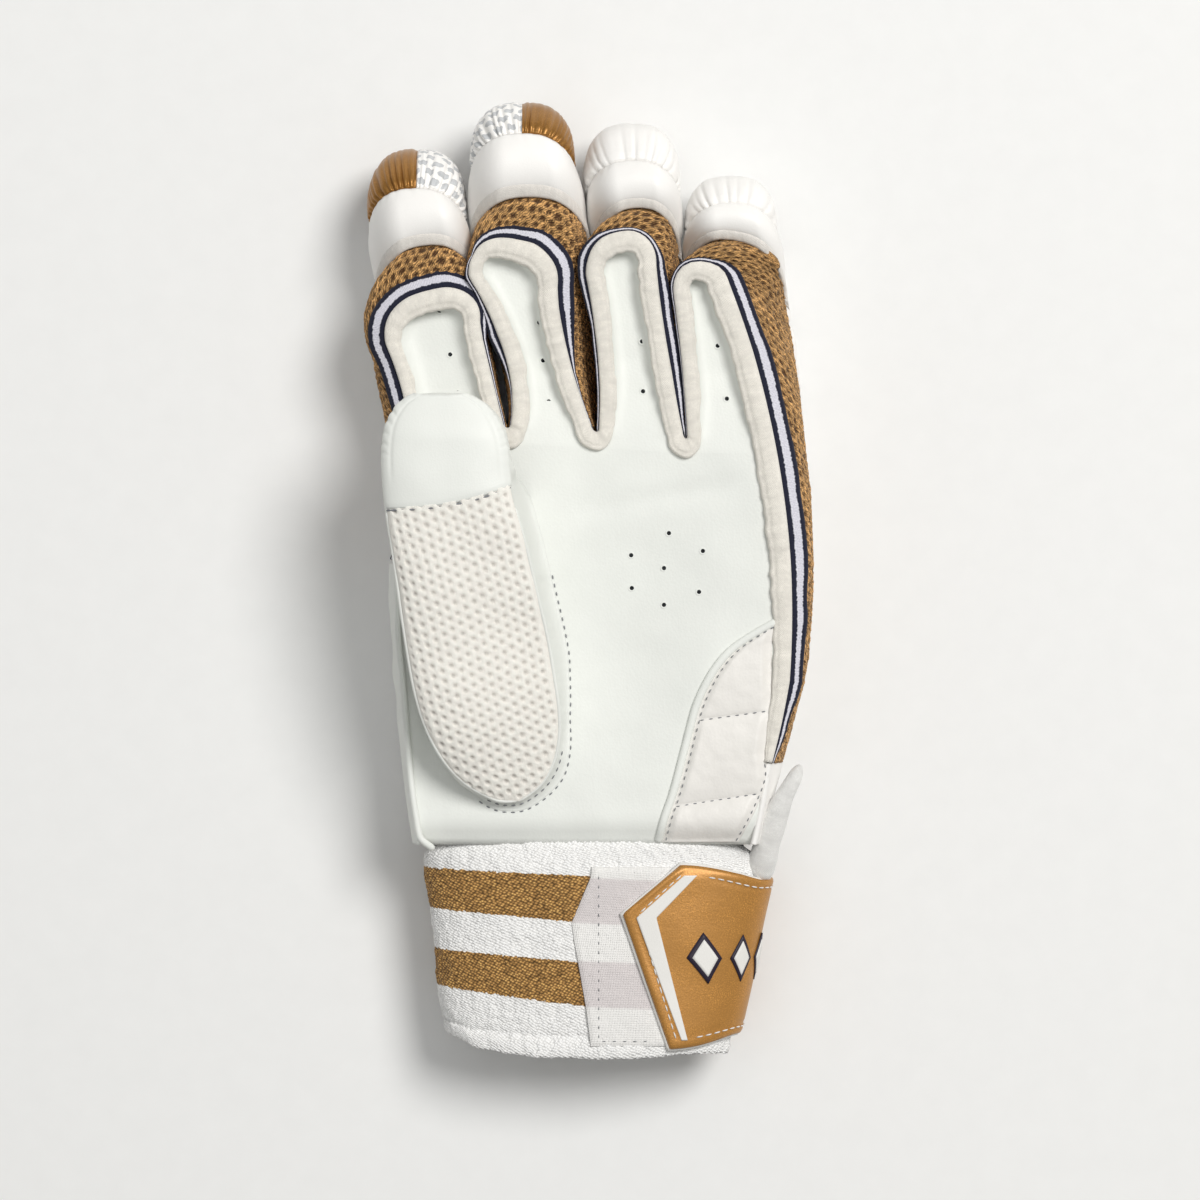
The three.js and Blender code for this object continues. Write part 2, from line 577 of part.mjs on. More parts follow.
// Thumb: every height counts from the palm's surface
const THUMB_REST = PALM_TOP + MESH_CLOTH + BINDING + 2 * SEAM; // clears the index finger's binding
const THUMB_SHELL = THUMB_REST + THUMB_ROLL + SEAM + LEATHER;
const THUMB_EDGE = THUMB_SHELL + THUMB_DEPTH;
const thumbY = (along) => lerp(Y(THUMB.base), Y(THUMB.tip), along);
function thumbSection(along) {
  const k = spanEnd(THUMB_SECTIONS, "along", along);
  const pick = (n) => THUMB_SECTIONS[clamp(n, 0, THUMB_SECTIONS.length - 1)];
  const [p, a, b, n] = [pick(k - 2), pick(k - 1), pick(k), pick(k + 1)];
  const f = clamp((along - a.along) / (b.along - a.along), 0, 1);
  const value = (key) => {
    const slopeA = ((b[key] - p[key]) / Math.max(b.along - p.along, 1e-6)) * (b.along - a.along);
    const slopeB = ((n[key] - a[key]) / Math.max(n.along - a.along, 1e-6)) * (b.along - a.along);
    const [f2, f3] = [f * f, f * f * f];
    return (
      (2 * f3 - 3 * f2 + 1) * a[key] + (f3 - 2 * f2 + f) * slopeA + (3 * f2 - 2 * f3) * b[key] + (f3 - f2) * slopeB
    );
  };
  const mid = X(value("mid"));
  const half = X(value("half"));
  const edge = (key) => lerp(PALM_TOP + LEATHER, THUMB_EDGE, clamp(value(key), 0, 1));
  return { left: mid - half, right: mid + half, edgeLeft: edge("edgeLeft"), edgeRight: edge("edgeRight") };
}
// The thumb's front: across runs from its left edge (0) to its right (1)
function thumbFront(along, across) {
  const s = thumbSection(along);
  const round = Math.sqrt(Math.max(0, 1 - Math.abs(2 * across - 1) ** 2.6));
  const fade = Math.min(1, smoothstep(along, -0.02, 0.3), 0.35 + 0.65 * smoothstep(1 - along, 0, 0.12));
  const x = lerp(s.left, s.right, across);
  const z = lerp(s.edgeLeft, s.edgeRight, ease(across)) + THUMB_CROWN * round * fade;
  return new THREE.Vector3(x, thumbY(along), z);
}
const thumbAlong = (step) => clamp(0.5 - 0.5 * Math.cos((Math.PI * step) / THUMB_STEPS), 0.004, 0.996);
function thumbSheet(from, to) {
  const gap = SEAM / (thumbY(1) - thumbY(0));
  const alongs = steps(to - from).map((s) => thumbAlong(lerp(from, to, s)));
  if (from > 0) alongs[0] += gap;
  const top = (u, v) => thumbFront(u, v);
  const under = (u, v) => top(u, v).add(new THREE.Vector3(0, 0, -THUMB_FRONT));
  return slab(top, under, alongs, steps(4));
}
// The wall all round the thumb, from under its front to the palm, or to its own shell where it is free
function thumbWall() {
  const count = 2 * THUMB_STEPS;
  const outline = (u) => {
    const along = thumbAlong(u * count);
    const s = thumbSection(along);
    const right = u > 0.5;
    return { along, right, s, x: right ? s.right : s.left, z: right ? s.edgeRight : s.edgeLeft };
  };
  const sheet = (inset) => (u, v) => {
    const o = outline(u);
    const y = thumbY(o.along);
    const free = smoothstep(o.along, THUMB_FREE - 0.06, THUMB_FREE - 0.01);
    const bottom = lerp(palmHeight(o.x, y) + SEAM, THUMB_SHELL + SEAM, free);
    const toward = new THREE.Vector2(lerp(X(-0.38), X(-0.6), o.along) - o.x, thumbY(lerp(0.12, 0.88, o.along)) - y);
    toward.normalize();
    const lean = inset + 0.8 * SEAM - Math.sin(Math.PI * v) * 0.3;
    const moved = thumbSection(o.along + (toward.y * lean) / (thumbY(1) - thumbY(0)));
    const edge = Math.min(o.z, o.right ? moved.edgeRight : moved.edgeLeft);
    const top = Math.max(edge - THUMB_FRONT - 1.5 * SEAM, bottom + 1);
    return new THREE.Vector3(o.x + toward.x * lean, y + toward.y * lean, lerp(top, bottom, v));
  };
  const us = steps(count).slice(0, -1);
  return slab(sheet(0), sheet(LEATHER), us, [0, 0.5, 1], true);
}
function thumbBack() {
  const narrow = 2 * LEATHER + 2 * SEAM;
  const top = (along, v) => {
    const s = thumbSection(along);
    const inset = along > THUMB_FREE + 0.001 ? 2 * SEAM : narrow;
    return new THREE.Vector3(lerp(s.left + inset, s.right - inset, v), thumbY(along), THUMB_SHELL);
  };
  const under = (along, v) => top(along, v).add(new THREE.Vector3(0, 0, -LEATHER));
  const ends = [THUMB_FREE - 0.06, THUMB_FREE, THUMB_FREE + 0.02];
  return slab(top, under, [...ends, 0.68, 0.82, 0.9, 0.95, 0.985], steps(3));
}
function thumbRolls() {
  const bounds = [THUMB_FREE + 0.02, 0.68, 0.83, 0.97];
  for (let k = 0; k < 3; k++) {
    const edge = (side) => (y) => {
      const s = thumbSection((y - thumbY(0)) / (thumbY(1) - thumbY(0)));
      return side < 0 ? s.left + 0.5 : s.right - 0.5;
    };
    const [y0, y1] = [thumbY(bounds[k]) + SEAM, thumbY(bounds[k + 1]) - SEAM];
    const top = () => THUMB_SHELL - LEATHER - SEAM;
    add(`thumb_roll_${k + 1}`, roll(edge(-1), edge(1), y0, y1, top, THUMB_ROLL), padWhite);
  }
}

// Heel patch: a second hide on the palm, between a curve and the palm's right edge
const heelCurve = new THREE.QuadraticBezierCurve(
  ...HEEL_CURVE.map((p) => new THREE.Vector2(X(p.x), Y(p.y))),
);
function heelPatch() {
  const MARGIN = 1.2;
  const over = (lift) => (u, v) => {
    const p = heelCurve.getPoint(lerp(0.06, 0.97, u));
    const right = handEdge("front", 1, p.y) - MARGIN;
    const x = lerp(Math.min(p.x + MARGIN + PIPING, right - 1), right, v);
    return new THREE.Vector3(x, p.y, palmHeight(x, p.y) + lift);
  };
  return slab(over(SEAM + LEATHER), over(SEAM), steps(7), steps(3));
}
function heelEdge() {
  const r = PIPING / 2;
  const path = steps(6).map((s) => {
    const p = heelCurve.getPoint(lerp(0.08, 0.97, s));
    return new THREE.Vector3(p.x, p.y, palmHeight(p.x, p.y) + r + SEAM);
  });
  return bead(path, r, 10);
}

// Cuff: a flattened tube, narrow where it is sewn into the hand and open at the far end
const CUFF_POWER = 2 / 2.6;
function cuffSection(y) {
  const far = -y / CUFF_LENGTH;
  const k = spanEnd(CUFF_SECTIONS, "far", far);
  const [a, b] = [CUFF_SECTIONS[k - 1], CUFF_SECTIONS[k]];
  const f = clamp((far - a.far) / (b.far - a.far), 0, 1);
  const [left, right] = [X(lerp(a.left, b.left, f)), X(lerp(a.right, b.right, f))];
  return { far, width: right - left, centre: (left + right) / 2 };
}
function cuffPoint(angle, y, out) {
  const { far, width, centre } = cuffSection(y);
  const flare = smoothstep(far, 0.02, CUFF_NECK);
  const top = lerp(PALM_TOP - LEATHER - 2 * SEAM, PALM_TOP, flare);
  const bottom = lerp(SHELL_TOP + SEAM, PALM_TOP - CUFF_HEIGHT, flare);
  const [c, s] = [Math.cos(angle), Math.sin(angle)];
  return new THREE.Vector3(
    centre + (width / 2 + out) * Math.sign(c) * Math.abs(c) ** CUFF_POWER,
    y,
    (top + bottom) / 2 + ((top - bottom) / 2 + out) * Math.sign(s) * Math.abs(s) ** CUFF_POWER,
  );
}
const CUFF_TUCK = 3; // how far the cuff reaches into the hand
function cuff() {
  const place = (out) => (u, v) => {
    const y = lerp(CUFF_TUCK, -CUFF_LENGTH, v);
    return cuffPoint(2 * Math.PI * u, y, -out * lerp(0.5, 1, smoothstep(v, 0.02, 0.3)));
  };
  const rows = CUFF_SECTIONS.map((s) => (s.far * CUFF_LENGTH + CUFF_TUCK) / (CUFF_LENGTH + CUFF_TUCK));
  return slab(place(0), place(TOWELLING), steps(32).slice(0, -1), [0, ...rows.slice(1)], true);
}
// The angle round the cuff of a point on its palm side
function cuffAngle(x, y) {
  const { width, centre } = cuffSection(y);
  const c = clamp((x - centre) / (width / 2), -0.999, 0.999);
  return Math.acos(Math.sign(c) * Math.abs(c) ** (1 / CUFF_POWER));
}
function loopPatch() {
  const { left, right, top, bottom } = LOOP_PATCH;
  const place = (out) => (u, v) => {
    const y = lerp(bottom, top, v) * CUFF_LENGTH;
    return cuffPoint(cuffAngle(X(lerp(left, right, u)), y), y, out);
  };
  return slab(place(SEAM + TAPE), place(SEAM), steps(4), steps(4));
}
// The strap runs from its pointed end on the palm side, round the little-finger side, to the back
function strapSheet(out) {
  return (u, v) => {
    const k = STRAP_END.findIndex((p, n) => n > 0 && v <= p.across + 1e-9);
    const [a, b] = [STRAP_END[k - 1], STRAP_END[k]];
    const x = X(lerp(a.x, b.x, (v - a.across) / (b.across - a.across)));
    const y = lerp(lerp(...STRAP_BOTTOM, u), lerp(...STRAP_TOP, u), v) * CUFF_LENGTH;
    const start = cuffAngle(x, y);
    return cuffPoint(lerp(start, THREE.MathUtils.degToRad(STRAP_BACK_ANGLE), u), y, out);
  };
}
function strapLayer(from, thickness) {
  const across = [0, 0.35, STRAP_END[1].across, 1];
  return slab(strapSheet(from + thickness), strapSheet(from), steps(16), across);
}

// The rolled edge of the slit between hand and cuff on the little-finger side
function ventRoll() {
  const r = PIPING;
  const y0 = Y(BORDERS.at(-1).y) - 2;
  const x0 = handEdge("foot", 1, y0);
  const x1 = handEdge("front", 1, 0);
  return bead(
    [
      new THREE.Vector3(x0 + r + 2.6, y0, PALM_TOP - r),
      new THREE.Vector3(x0 + r + 0.5, y0 * 0.6, PALM_TOP - r * 0.4),
      new THREE.Vector3(x1 + r + 3.4, y0 * 0.25, PALM_TOP),
      new THREE.Vector3(x1 + r + 1.6, SEAM, PALM_TOP),
    ],
    r,
    8,
  );
}

add("palm_leather", palmLeather(), palmWhite);
add("back_shell", backShell(), spacerWhite);
FINGERS.forEach((f, i) => {
  add(`${f.name}_mesh_wall`, fingerWall(i), bronzeMesh);
  add(`${f.name}_striped_tape`, trim(i, TAPE_SPAN, TAPE), tapeNavy);
  add(`${f.name}_binding`, trim(i, BINDING_SPAN, BINDING), bindingCream);
  add(`${f.name}_end_roll`, hoodPart(i, 0, 0.97, 2), padWhite);
  add(`${f.name}_tip_cap`, hoodPart(i, 1.03, 3, 5), i < 2 ? strapBronze : padWhite);
  fingerRolls(i);
});
handRolls();
add("thumb_side_panel", sidePanel(-1, SEAM, Y(BORDERS[0].y) - SEAM), padWhite);
add("vent_panel", sidePanel(1, SEAM, Y(BORDERS.at(-1).y) - SEAM), padWhite);
add("edge_piping", bead(beadOnEdge(-1, SEAM * 2, Y(BORDERS[0].y) - 2), PIPING / 2, 12), padWhite);
add("vent_roll", ventRoll(), towelWhite);
add("heel_patch", heelPatch(), palmWhite);
add("heel_patch_edge", heelEdge(), palmWhite);
add("thumb_mesh_front", thumbSheet(0, THUMB_PATCH_STEP), spacerWhite);
add("thumb_tip_patch", thumbSheet(THUMB_PATCH_STEP, THUMB_STEPS), palmWhite);
add("thumb_wall", thumbWall(), palmWhite);
add("thumb_back_shell", thumbBack(), spacerWhite);
thumbRolls();
add("cuff", cuff(), towelWhite);
add("loop_patch", loopPatch(), towelWhite);
const BACKING_OUT = 2 * SEAM + TAPE;
add("strap_backing", strapLayer(BACKING_OUT, TAPE), spacerWhite);
add("strap", strapLayer(BACKING_OUT + TAPE + SEAM, STRAP), strapBronze);

// Centre the glove over the origin, resting on z = 0
const box = new THREE.Box3().setFromObject(glove);
const centre = box.getCenter(new THREE.Vector3());
glove.position.set(-centre.x, -centre.y, -box.min.z);

export default glove;
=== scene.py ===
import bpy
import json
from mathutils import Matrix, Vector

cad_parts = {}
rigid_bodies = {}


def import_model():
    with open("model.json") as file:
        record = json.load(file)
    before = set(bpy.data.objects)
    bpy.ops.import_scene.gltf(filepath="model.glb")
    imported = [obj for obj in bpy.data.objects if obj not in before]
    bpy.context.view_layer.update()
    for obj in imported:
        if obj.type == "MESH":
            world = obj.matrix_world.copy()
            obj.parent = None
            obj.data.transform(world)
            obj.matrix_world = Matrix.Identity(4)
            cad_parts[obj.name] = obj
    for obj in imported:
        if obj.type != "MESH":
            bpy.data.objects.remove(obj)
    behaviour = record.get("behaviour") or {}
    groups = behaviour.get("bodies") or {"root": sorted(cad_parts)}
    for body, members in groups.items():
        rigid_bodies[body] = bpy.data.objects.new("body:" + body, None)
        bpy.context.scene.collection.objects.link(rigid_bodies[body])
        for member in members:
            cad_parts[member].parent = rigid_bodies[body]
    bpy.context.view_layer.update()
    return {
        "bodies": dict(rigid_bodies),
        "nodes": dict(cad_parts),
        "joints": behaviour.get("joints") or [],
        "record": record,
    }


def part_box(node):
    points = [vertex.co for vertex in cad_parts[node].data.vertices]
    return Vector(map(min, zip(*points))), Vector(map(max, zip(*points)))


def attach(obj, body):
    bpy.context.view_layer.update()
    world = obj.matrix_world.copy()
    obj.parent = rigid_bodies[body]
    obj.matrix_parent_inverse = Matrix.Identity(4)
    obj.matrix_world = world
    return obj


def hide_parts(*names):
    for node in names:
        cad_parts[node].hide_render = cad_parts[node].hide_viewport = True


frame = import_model()

import json
import math

import bpy
import numpy as np
from bpy.props import FloatProperty, FloatVectorProperty, PointerProperty
from mathutils import Vector

bl_info = {
    "name": "Cricket batting glove",
    "version": (1, 0, 0),
    "blender": (4, 5, 0),
    "location": "View3D > Sidebar > Glove",
    "description": "Leather, knit, towelling and padding of a left-hand cricket batting glove",
    "category": "Object",
}

# The glove is drawn in millimetres, palm up: x = 0 at mid hand, y = 0 at the seam of hand and cuff, z up.
# The cuff's box gives where that lies in the frame.
CUFF_LENGTH = 60.5
CUFF_LOW = [1000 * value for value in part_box("cuff")[0]]
SHIFT = np.array([CUFF_LOW[0] + 47.04, CUFF_LOW[1] + CUFF_LENGTH, 0.0])

HAND_WIDTH = 128.0
HAND_LENGTH = 212.0
SHELL_TOP = 15.75
PALM_TOP = 35.15
SEAM = 0.35
KNIT = 1.2
CAP_WALL = 5.0
PAD, THUMB_PAD = 14.0, 6.0
SHELL_CLOTH = 1.4
THUMB_SHELL = 46.6
THUMB_EDGE = 58.6
TAU = 2 * math.pi
TINY = 1e-12
UP = (0.0, 0.0, 1.0)
TURNED = [0, 3, 2, 1]


def length_property(name, description, default, low, high):
    """A length the user can change, in metres."""
    return FloatProperty(name=name, description=description, default=default, min=low, max=high,
                         unit="LENGTH")


class GloveSizes(bpy.types.PropertyGroup):
    """Sizes of the surface detail."""

    knit_pitch: length_property("Knit pitch", "Between holes of the finger knit", 0.0028, 0.001, 0.006)
    dimple_pitch: length_property("Dimple pitch", "Between the thumb cloth's dimples", 0.0031, 0.001, 0.008)
    stitch_pitch: length_property("Stitch pitch", "From one stitch to the next", 0.0024, 0.001, 0.006)
    loop_pitch: length_property("Towelling pitch", "Between loops of towelling", 0.00095, 0.0005, 0.003)
    check_pitch: length_property("Check pitch", "Between squares on the fingertips", 0.0042, 0.001, 0.006)
    puckers: length_property("Puckers", "Depth of the gathers at the fingertips", 0.0006, 0.0, 0.002)


def colour_property(name, description, red, green, blue):
    """A colour the user can change, given as it looks on screen from 0 to 255."""
    linear = [(value / 255) ** 2.2 for value in (red, green, blue)]
    return FloatVectorProperty(name=name, description=description, subtype="COLOR", size=3, min=0, max=1,
                               default=linear)


class GloveColours(bpy.types.PropertyGroup):
    """Colours of the leathers and cloths."""

    hide: colour_property("Palm leather", "Palm, finger fronts, thumb tip and heel", 233, 235, 230)
    pad: colour_property("Padded leather", "Rolls, fingertip bands and caps", 248, 246, 243)
    bronze: colour_property("Bronze leather", "Fingertip gathers and strap", 188, 134, 68)
    # The knit's colours: the bright one is its own colour, which the knit material also lifts into painted
    # highlights on the strands' tops; the dark one is painted shade inside the holes.
    knit_light: colour_property("Knit, bright", "Top of the finger knit's strands", 188, 144, 92)
    knit_hole_shade: colour_property("Knit, dark", "Inside the finger knit's holes", 84, 54, 28)
    navy: colour_property("Navy", "Lines of the finger tape", 40, 42, 58)
    binding: colour_property("Binding", "Cotton binding", 248, 243, 233)
    spacer: colour_property("Spacer cloth", "Front of the thumb", 250, 245, 237)
    towel: colour_property("Towelling", "Cuff", 253, 252, 250)
    stripe: colour_property("Towelling stripe", "Bronze stripes on the cuff", 182, 138, 84)
    grey: colour_property("Check grey", "Squares on the fingertips", 198, 200, 202)
    # Its grey is partly the thread's own and partly painted shade of the holes the stitches go through.
    thread: colour_property("Thread", "Shaded stitches", 126, 128, 132)


def sizes():
    return bpy.context.scene.glove_sizes


def colours():
    return bpy.context.scene.glove_colours


# Sums on arrays


def lerp(a, b, t):
    return a + (b - a) * t


def smooth(value, low, high):
    """0 below low, 1 above high, and an even S between them."""
    t = np.clip((value - low) / (high - low), 0, 1)
    return t * t * (3 - 2 * t)


def across(share):
    return np.asarray(share, float) * HAND_WIDTH / 2


def along(share):
    return np.asarray(share, float) * HAND_LENGTH


def xyz(x, y, z):
    return np.stack(np.broadcast_arrays(np.asarray(x, float), y, z), axis=-1)


def steps(count):
    """Even shares from 0 to 1."""
    return np.linspace(0, 1, count)


def eased(count):
    """Shares from 0 to 1 that lie closer together at both ends."""
    return 0.5 - 0.5 * np.cos(math.pi * steps(count))


def hump(share):
    """0 at both ends of a share and 1 in its middle."""
    return np.sin(math.pi * share)


def bell(distance, width):
    """1 at no distance, and falling away evenly to both sides."""
    return np.exp(-((distance / width) ** 2))


def unit(vectors):
    return vectors / (np.linalg.norm(vectors, axis=-1, keepdims=True) + TINY)


def bumps(x, y, size, seed):
    """Smooth random heights from -1 to 1: seeded values on a square lattice of that size, blended."""
    table = np.random.RandomState(seed).uniform(-1, 1, (64, 64))
    gx, gy = np.broadcast_arrays(np.asarray(x, float) / size, np.asarray(y, float) / size)
    ix, iy = np.floor(gx).astype(int), np.floor(gy).astype(int)
    fx, fy = gx - ix, gy - iy
    fx, fy = fx * fx * (3 - 2 * fx), fy * fy * (3 - 2 * fy)
    low = lerp(table[ix % 64, iy % 64], table[(ix + 1) % 64, iy % 64], fx)
    high = lerp(table[ix % 64, (iy + 1) % 64], table[(ix + 1) % 64, (iy + 1) % 64], fx)
    return lerp(low, high, fy)


def hexes(x, y, pitch):
    """Distance from the nearest point of a honeycomb lattice, as a share of its pitch: 0 to about 0.58."""
    tall = pitch * math.sqrt(3)

    def nearest(dx, dy):
        u = x - dx - pitch * np.round((x - dx) / pitch)
        v = y - dy - tall * np.round((y - dy) / tall)
        return u * u + v * v

    return np.sqrt(np.minimum(nearest(0, 0), nearest(pitch / 2, tall / 2))) / pitch


def run(points, axis=0):
    """Length run so far along an axis of a grid of points."""
    step = np.linalg.norm(np.diff(points, axis=axis), axis=-1)
    start = np.zeros_like(np.take(step, [0], axis=axis))
    return np.concatenate([start, np.cumsum(step, axis=axis)], axis=axis)


def bumps_on(grid, size, seed):
    """Bumps laid out on the first two values of a grid."""
    return bumps(grid[..., 0], grid[..., 1], size, seed)


def path(points, count):
    """An evenly spaced smooth curve: each coordinate is a Catmull-Rom cubic between neighbours."""
    p = np.asarray(points, float)
    padded = np.concatenate([2 * p[:1] - p[1:2], p, 2 * p[-1:] - p[-2:-1]])
    s = np.linspace(0, len(p) - 1 - 1e-9, 40 * len(p))
    k = s.astype(int)
    f = (s - k)[:, None]
    a, b, c, d = (padded[k + n] for n in range(4))
    dense = 0.5 * (2 * b + (c - a) * f + (2 * a - 5 * b + 4 * c - d) * f**2 + (3 * b - 3 * c + d - a) * f**3)
    return spaced(dense, count)


def spaced(points, count):
    """The same line with its points evenly spaced."""
    length = run(points)
    wanted = np.linspace(0, length[-1], count)
    return np.stack([np.interp(wanted, length, points[:, k]) for k in range(points.shape[1])], axis=-1)


def normals(points, ring=False):
    """Unit normals of a grid: the cross product of its differences along both ways."""
    p = np.concatenate([points[-2:], points, points[:2]]) if ring else points
    n = unit(np.cross(np.gradient(p, axis=0), np.gradient(p, axis=1)))
    return n[2:-2] if ring else n


def lifted(points, core, height, ring=False):
    """The grid moved by a height along its normals, on the side away from a core point."""
    n = normals(points, ring)
    if np.mean(np.sum(n * (points - core), axis=-1)) < 0:
        n = -n
    return points + n * np.asarray(height)[..., None]


# Meshes


def finish_piece(piece, slot, *nodes):
    """Smooth faces, the body it rides on and the CAD solids it stands for. The slot is not used."""
    piece.data.polygons.foreach_set("use_smooth", np.ones(len(piece.data.polygons), bool))
    bpy.context.collection.objects.link(piece)
    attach(piece, "root")
    if nodes:
        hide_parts(*nodes)
    return piece


def cells(rows, columns):
    """Row and column of the four corners of every cell, in a grid of so many cells each way."""
    i, j = np.meshgrid(np.arange(rows), np.arange(columns), indexing="ij")
    return [(i, j), (i, j + 1), (i + 1, j + 1), (i + 1, j)]


def quads(corners, columns):
    """Quads of a grid with that many points a row. Past its last column it carries on at the first."""
    return np.stack([a * columns + b % columns for a, b in corners], axis=-1).reshape(-1, 4)


def copies(faces, count, size):
    """The same quads for a count of bodies whose points follow each other, size points each."""
    return (faces[None] + size * np.arange(count)[:, None, None]).reshape(-1, 4)


def joined(bodies):
    """Points and quads of several bodies as one, and where each body's points start."""
    starts = np.cumsum([0] + [len(body[0]) for body in bodies])
    faces = np.concatenate([body[1] + start for body, start in zip(bodies, starts)])
    return np.concatenate([body[0] for body in bodies]), faces, starts


def faces_out(points, faces):
    """Whether a closed body's quads face outwards: then its signed volume is positive."""
    p = points[faces]
    first, second, third = (p[:, k] - p[:, 0] for k in (1, 2, 3))
    return np.sum(p[:, 0] * np.cross(first, second)) + np.sum(p[:, 0] * np.cross(second, third)) > 0


def mesh_of(name, points, faces, material, uv=None, marks=None):
    """A mesh from drawn points and quads, placed in the frame in metres."""
    mesh = bpy.data.meshes.new(name)
    mesh.from_pydata((points + SHIFT) * 0.001, [], faces)
    if uv is not None:
        mesh.uv_layers.new(name="cloth").data.foreach_set("uv", uv.astype(np.float32).ravel())
    for mark, values in (marks or {}).items():
        layer = mesh.attributes.new(mark, "FLOAT", "POINT")
        layer.data.foreach_set("value", values.astype(np.float32).ravel())
    mesh.materials.append(finish(material))
    return bpy.data.objects.new(name, mesh)


def slab(name, outer, inner, material, ring=False, uv=None, mark=None):
    """A closed body between two grids. ring joins the last row to the first; uv is in millimetres."""
    rows, columns = outer.shape[:2]
    points = np.concatenate([outer.reshape(-1, 3), inner.reshape(-1, 3)])
    layer = rows * columns
    uv = (cloth_uv(outer, ring) if uv is None else uv).reshape(-1, 2)
    i, j = np.meshgrid(np.arange(rows if ring else rows - 1), np.arange(columns - 1), indexing="ij")

    def strip(corners):
        ids = np.stack([side * layer + (a % rows) * columns + b for side, a, b in corners], axis=-1)
        flat = np.stack([a * columns + b for side, a, b in corners], axis=-1)
        return ids.reshape(-1, 4), uv[flat.reshape(-1, 4)]

    k, last = i[:, 0], columns - 1
    parts = [
        strip([(0, i, j), (0, i + 1, j), (0, i + 1, j + 1), (0, i, j + 1)]),
        strip([(1, i, j), (1, i, j + 1), (1, i + 1, j + 1), (1, i + 1, j)]),
        strip([(0, k, 0), (1, k, 0), (1, k + 1, 0), (0, k + 1, 0)]),
        strip([(0, k, last), (0, k + 1, last), (1, k + 1, last), (1, k, last)]),
    ]
    if not ring:
        k, end = j[0], rows - 1
        parts.append(strip([(0, 0, k), (0, 0, k + 1), (1, 0, k + 1), (1, 0, k)]))
        parts.append(strip([(0, end, k), (1, end, k), (1, end, k + 1), (0, end, k + 1)]))
    faces, corners = (np.concatenate(part) for part in zip(*parts))
    if not faces_out(points, faces):
        faces, corners = faces[:, ::-1], corners[:, ::-1]
    marks = {key: np.concatenate([np.ravel(values), np.full(layer, np.min(values))])
             for key, values in (mark or {}).items()}
    return mesh_of(name, points, faces, material, corners, marks)


def cloth_uv(points, ring=False):
    """Lengths in millimetres along and across a grid; a ring gets one more row so its seam reads on."""
    p = np.concatenate([points, points[:1]]) if ring else points
    u = np.broadcast_to(run(p[:, p.shape[1] // 2])[:, None], p.shape[:2])
    return np.stack([u, run(p, axis=1)], axis=-1)


def sheet(name, points, core, thickness, material, ring=False, height=0.0, **more):
    """A slab on a surface: its outside is lifted by a height, its inside lies a thickness below."""
    outer = lifted(points, core, height + np.zeros(points.shape[:2]), ring)
    inner = lifted(points, core, -thickness + np.zeros(points.shape[:2]), ring)
    return slab(name, outer, inner, material, ring, **more)


def declared(points, ring=False):
    """Works out the width, length and area of a cloth piece's own surface, but keeps nothing and gives
    nothing back.
    """
    p = np.concatenate([points, points[:1]]) if ring else points
    areas = np.cross(np.diff(p, axis=0)[:, :-1], np.diff(p, axis=1)[:-1])
    width, length = run(p)[-1].max() / 1000, run(p, axis=1)[:, -1].max() / 1000
    area = min(np.linalg.norm(areas, axis=-1).sum() / 1e6, width * length)


def tube(name, line, radius, material, sides=12, squash=1.0):
    """A round bead: a circle carried along a line, its ends drawn in to a rounded point."""
    line = np.asarray(line, float)
    ahead = unit(np.gradient(line, axis=0))
    side = unit(np.cross(ahead, UP))
    top = np.cross(side, ahead)
    length = run(line)
    left = np.clip(np.minimum(length, length[-1] - length) / np.max(radius), 0, 1)
    size = np.asarray(radius) * np.sqrt(np.clip(1 - (1 - left) ** 2, 0.0004, 1))
    turn = TAU * np.arange(sides) / sides
    ring = side[:, None] * np.cos(turn)[:, None] + top[:, None] * (squash * np.sin(turn))[:, None]
    points = (line[:, None] + ring * size[:, None, None]).reshape(-1, 3)
    corners = cells(len(line) - 1, sides)
    faces = quads(corners, sides)
    place = [(length[a], b * float(np.mean(radius)) * TAU / sides) for a, b in corners]
    uv = np.stack([np.stack([u, v], axis=-1) for u, v in place], axis=2).reshape(-1, 4, 2)
    p = points[faces]
    if np.sum(p[:, 0] * np.cross(p[:, 1] - p[:, 0], p[:, 2] - p[:, 0])) < 0:
        faces, uv = faces[:, ::-1], uv[:, ::-1]
    return mesh_of(name, points, faces, material, uv)


STITCH_RINGS, STITCH_SIDES = 5, 6


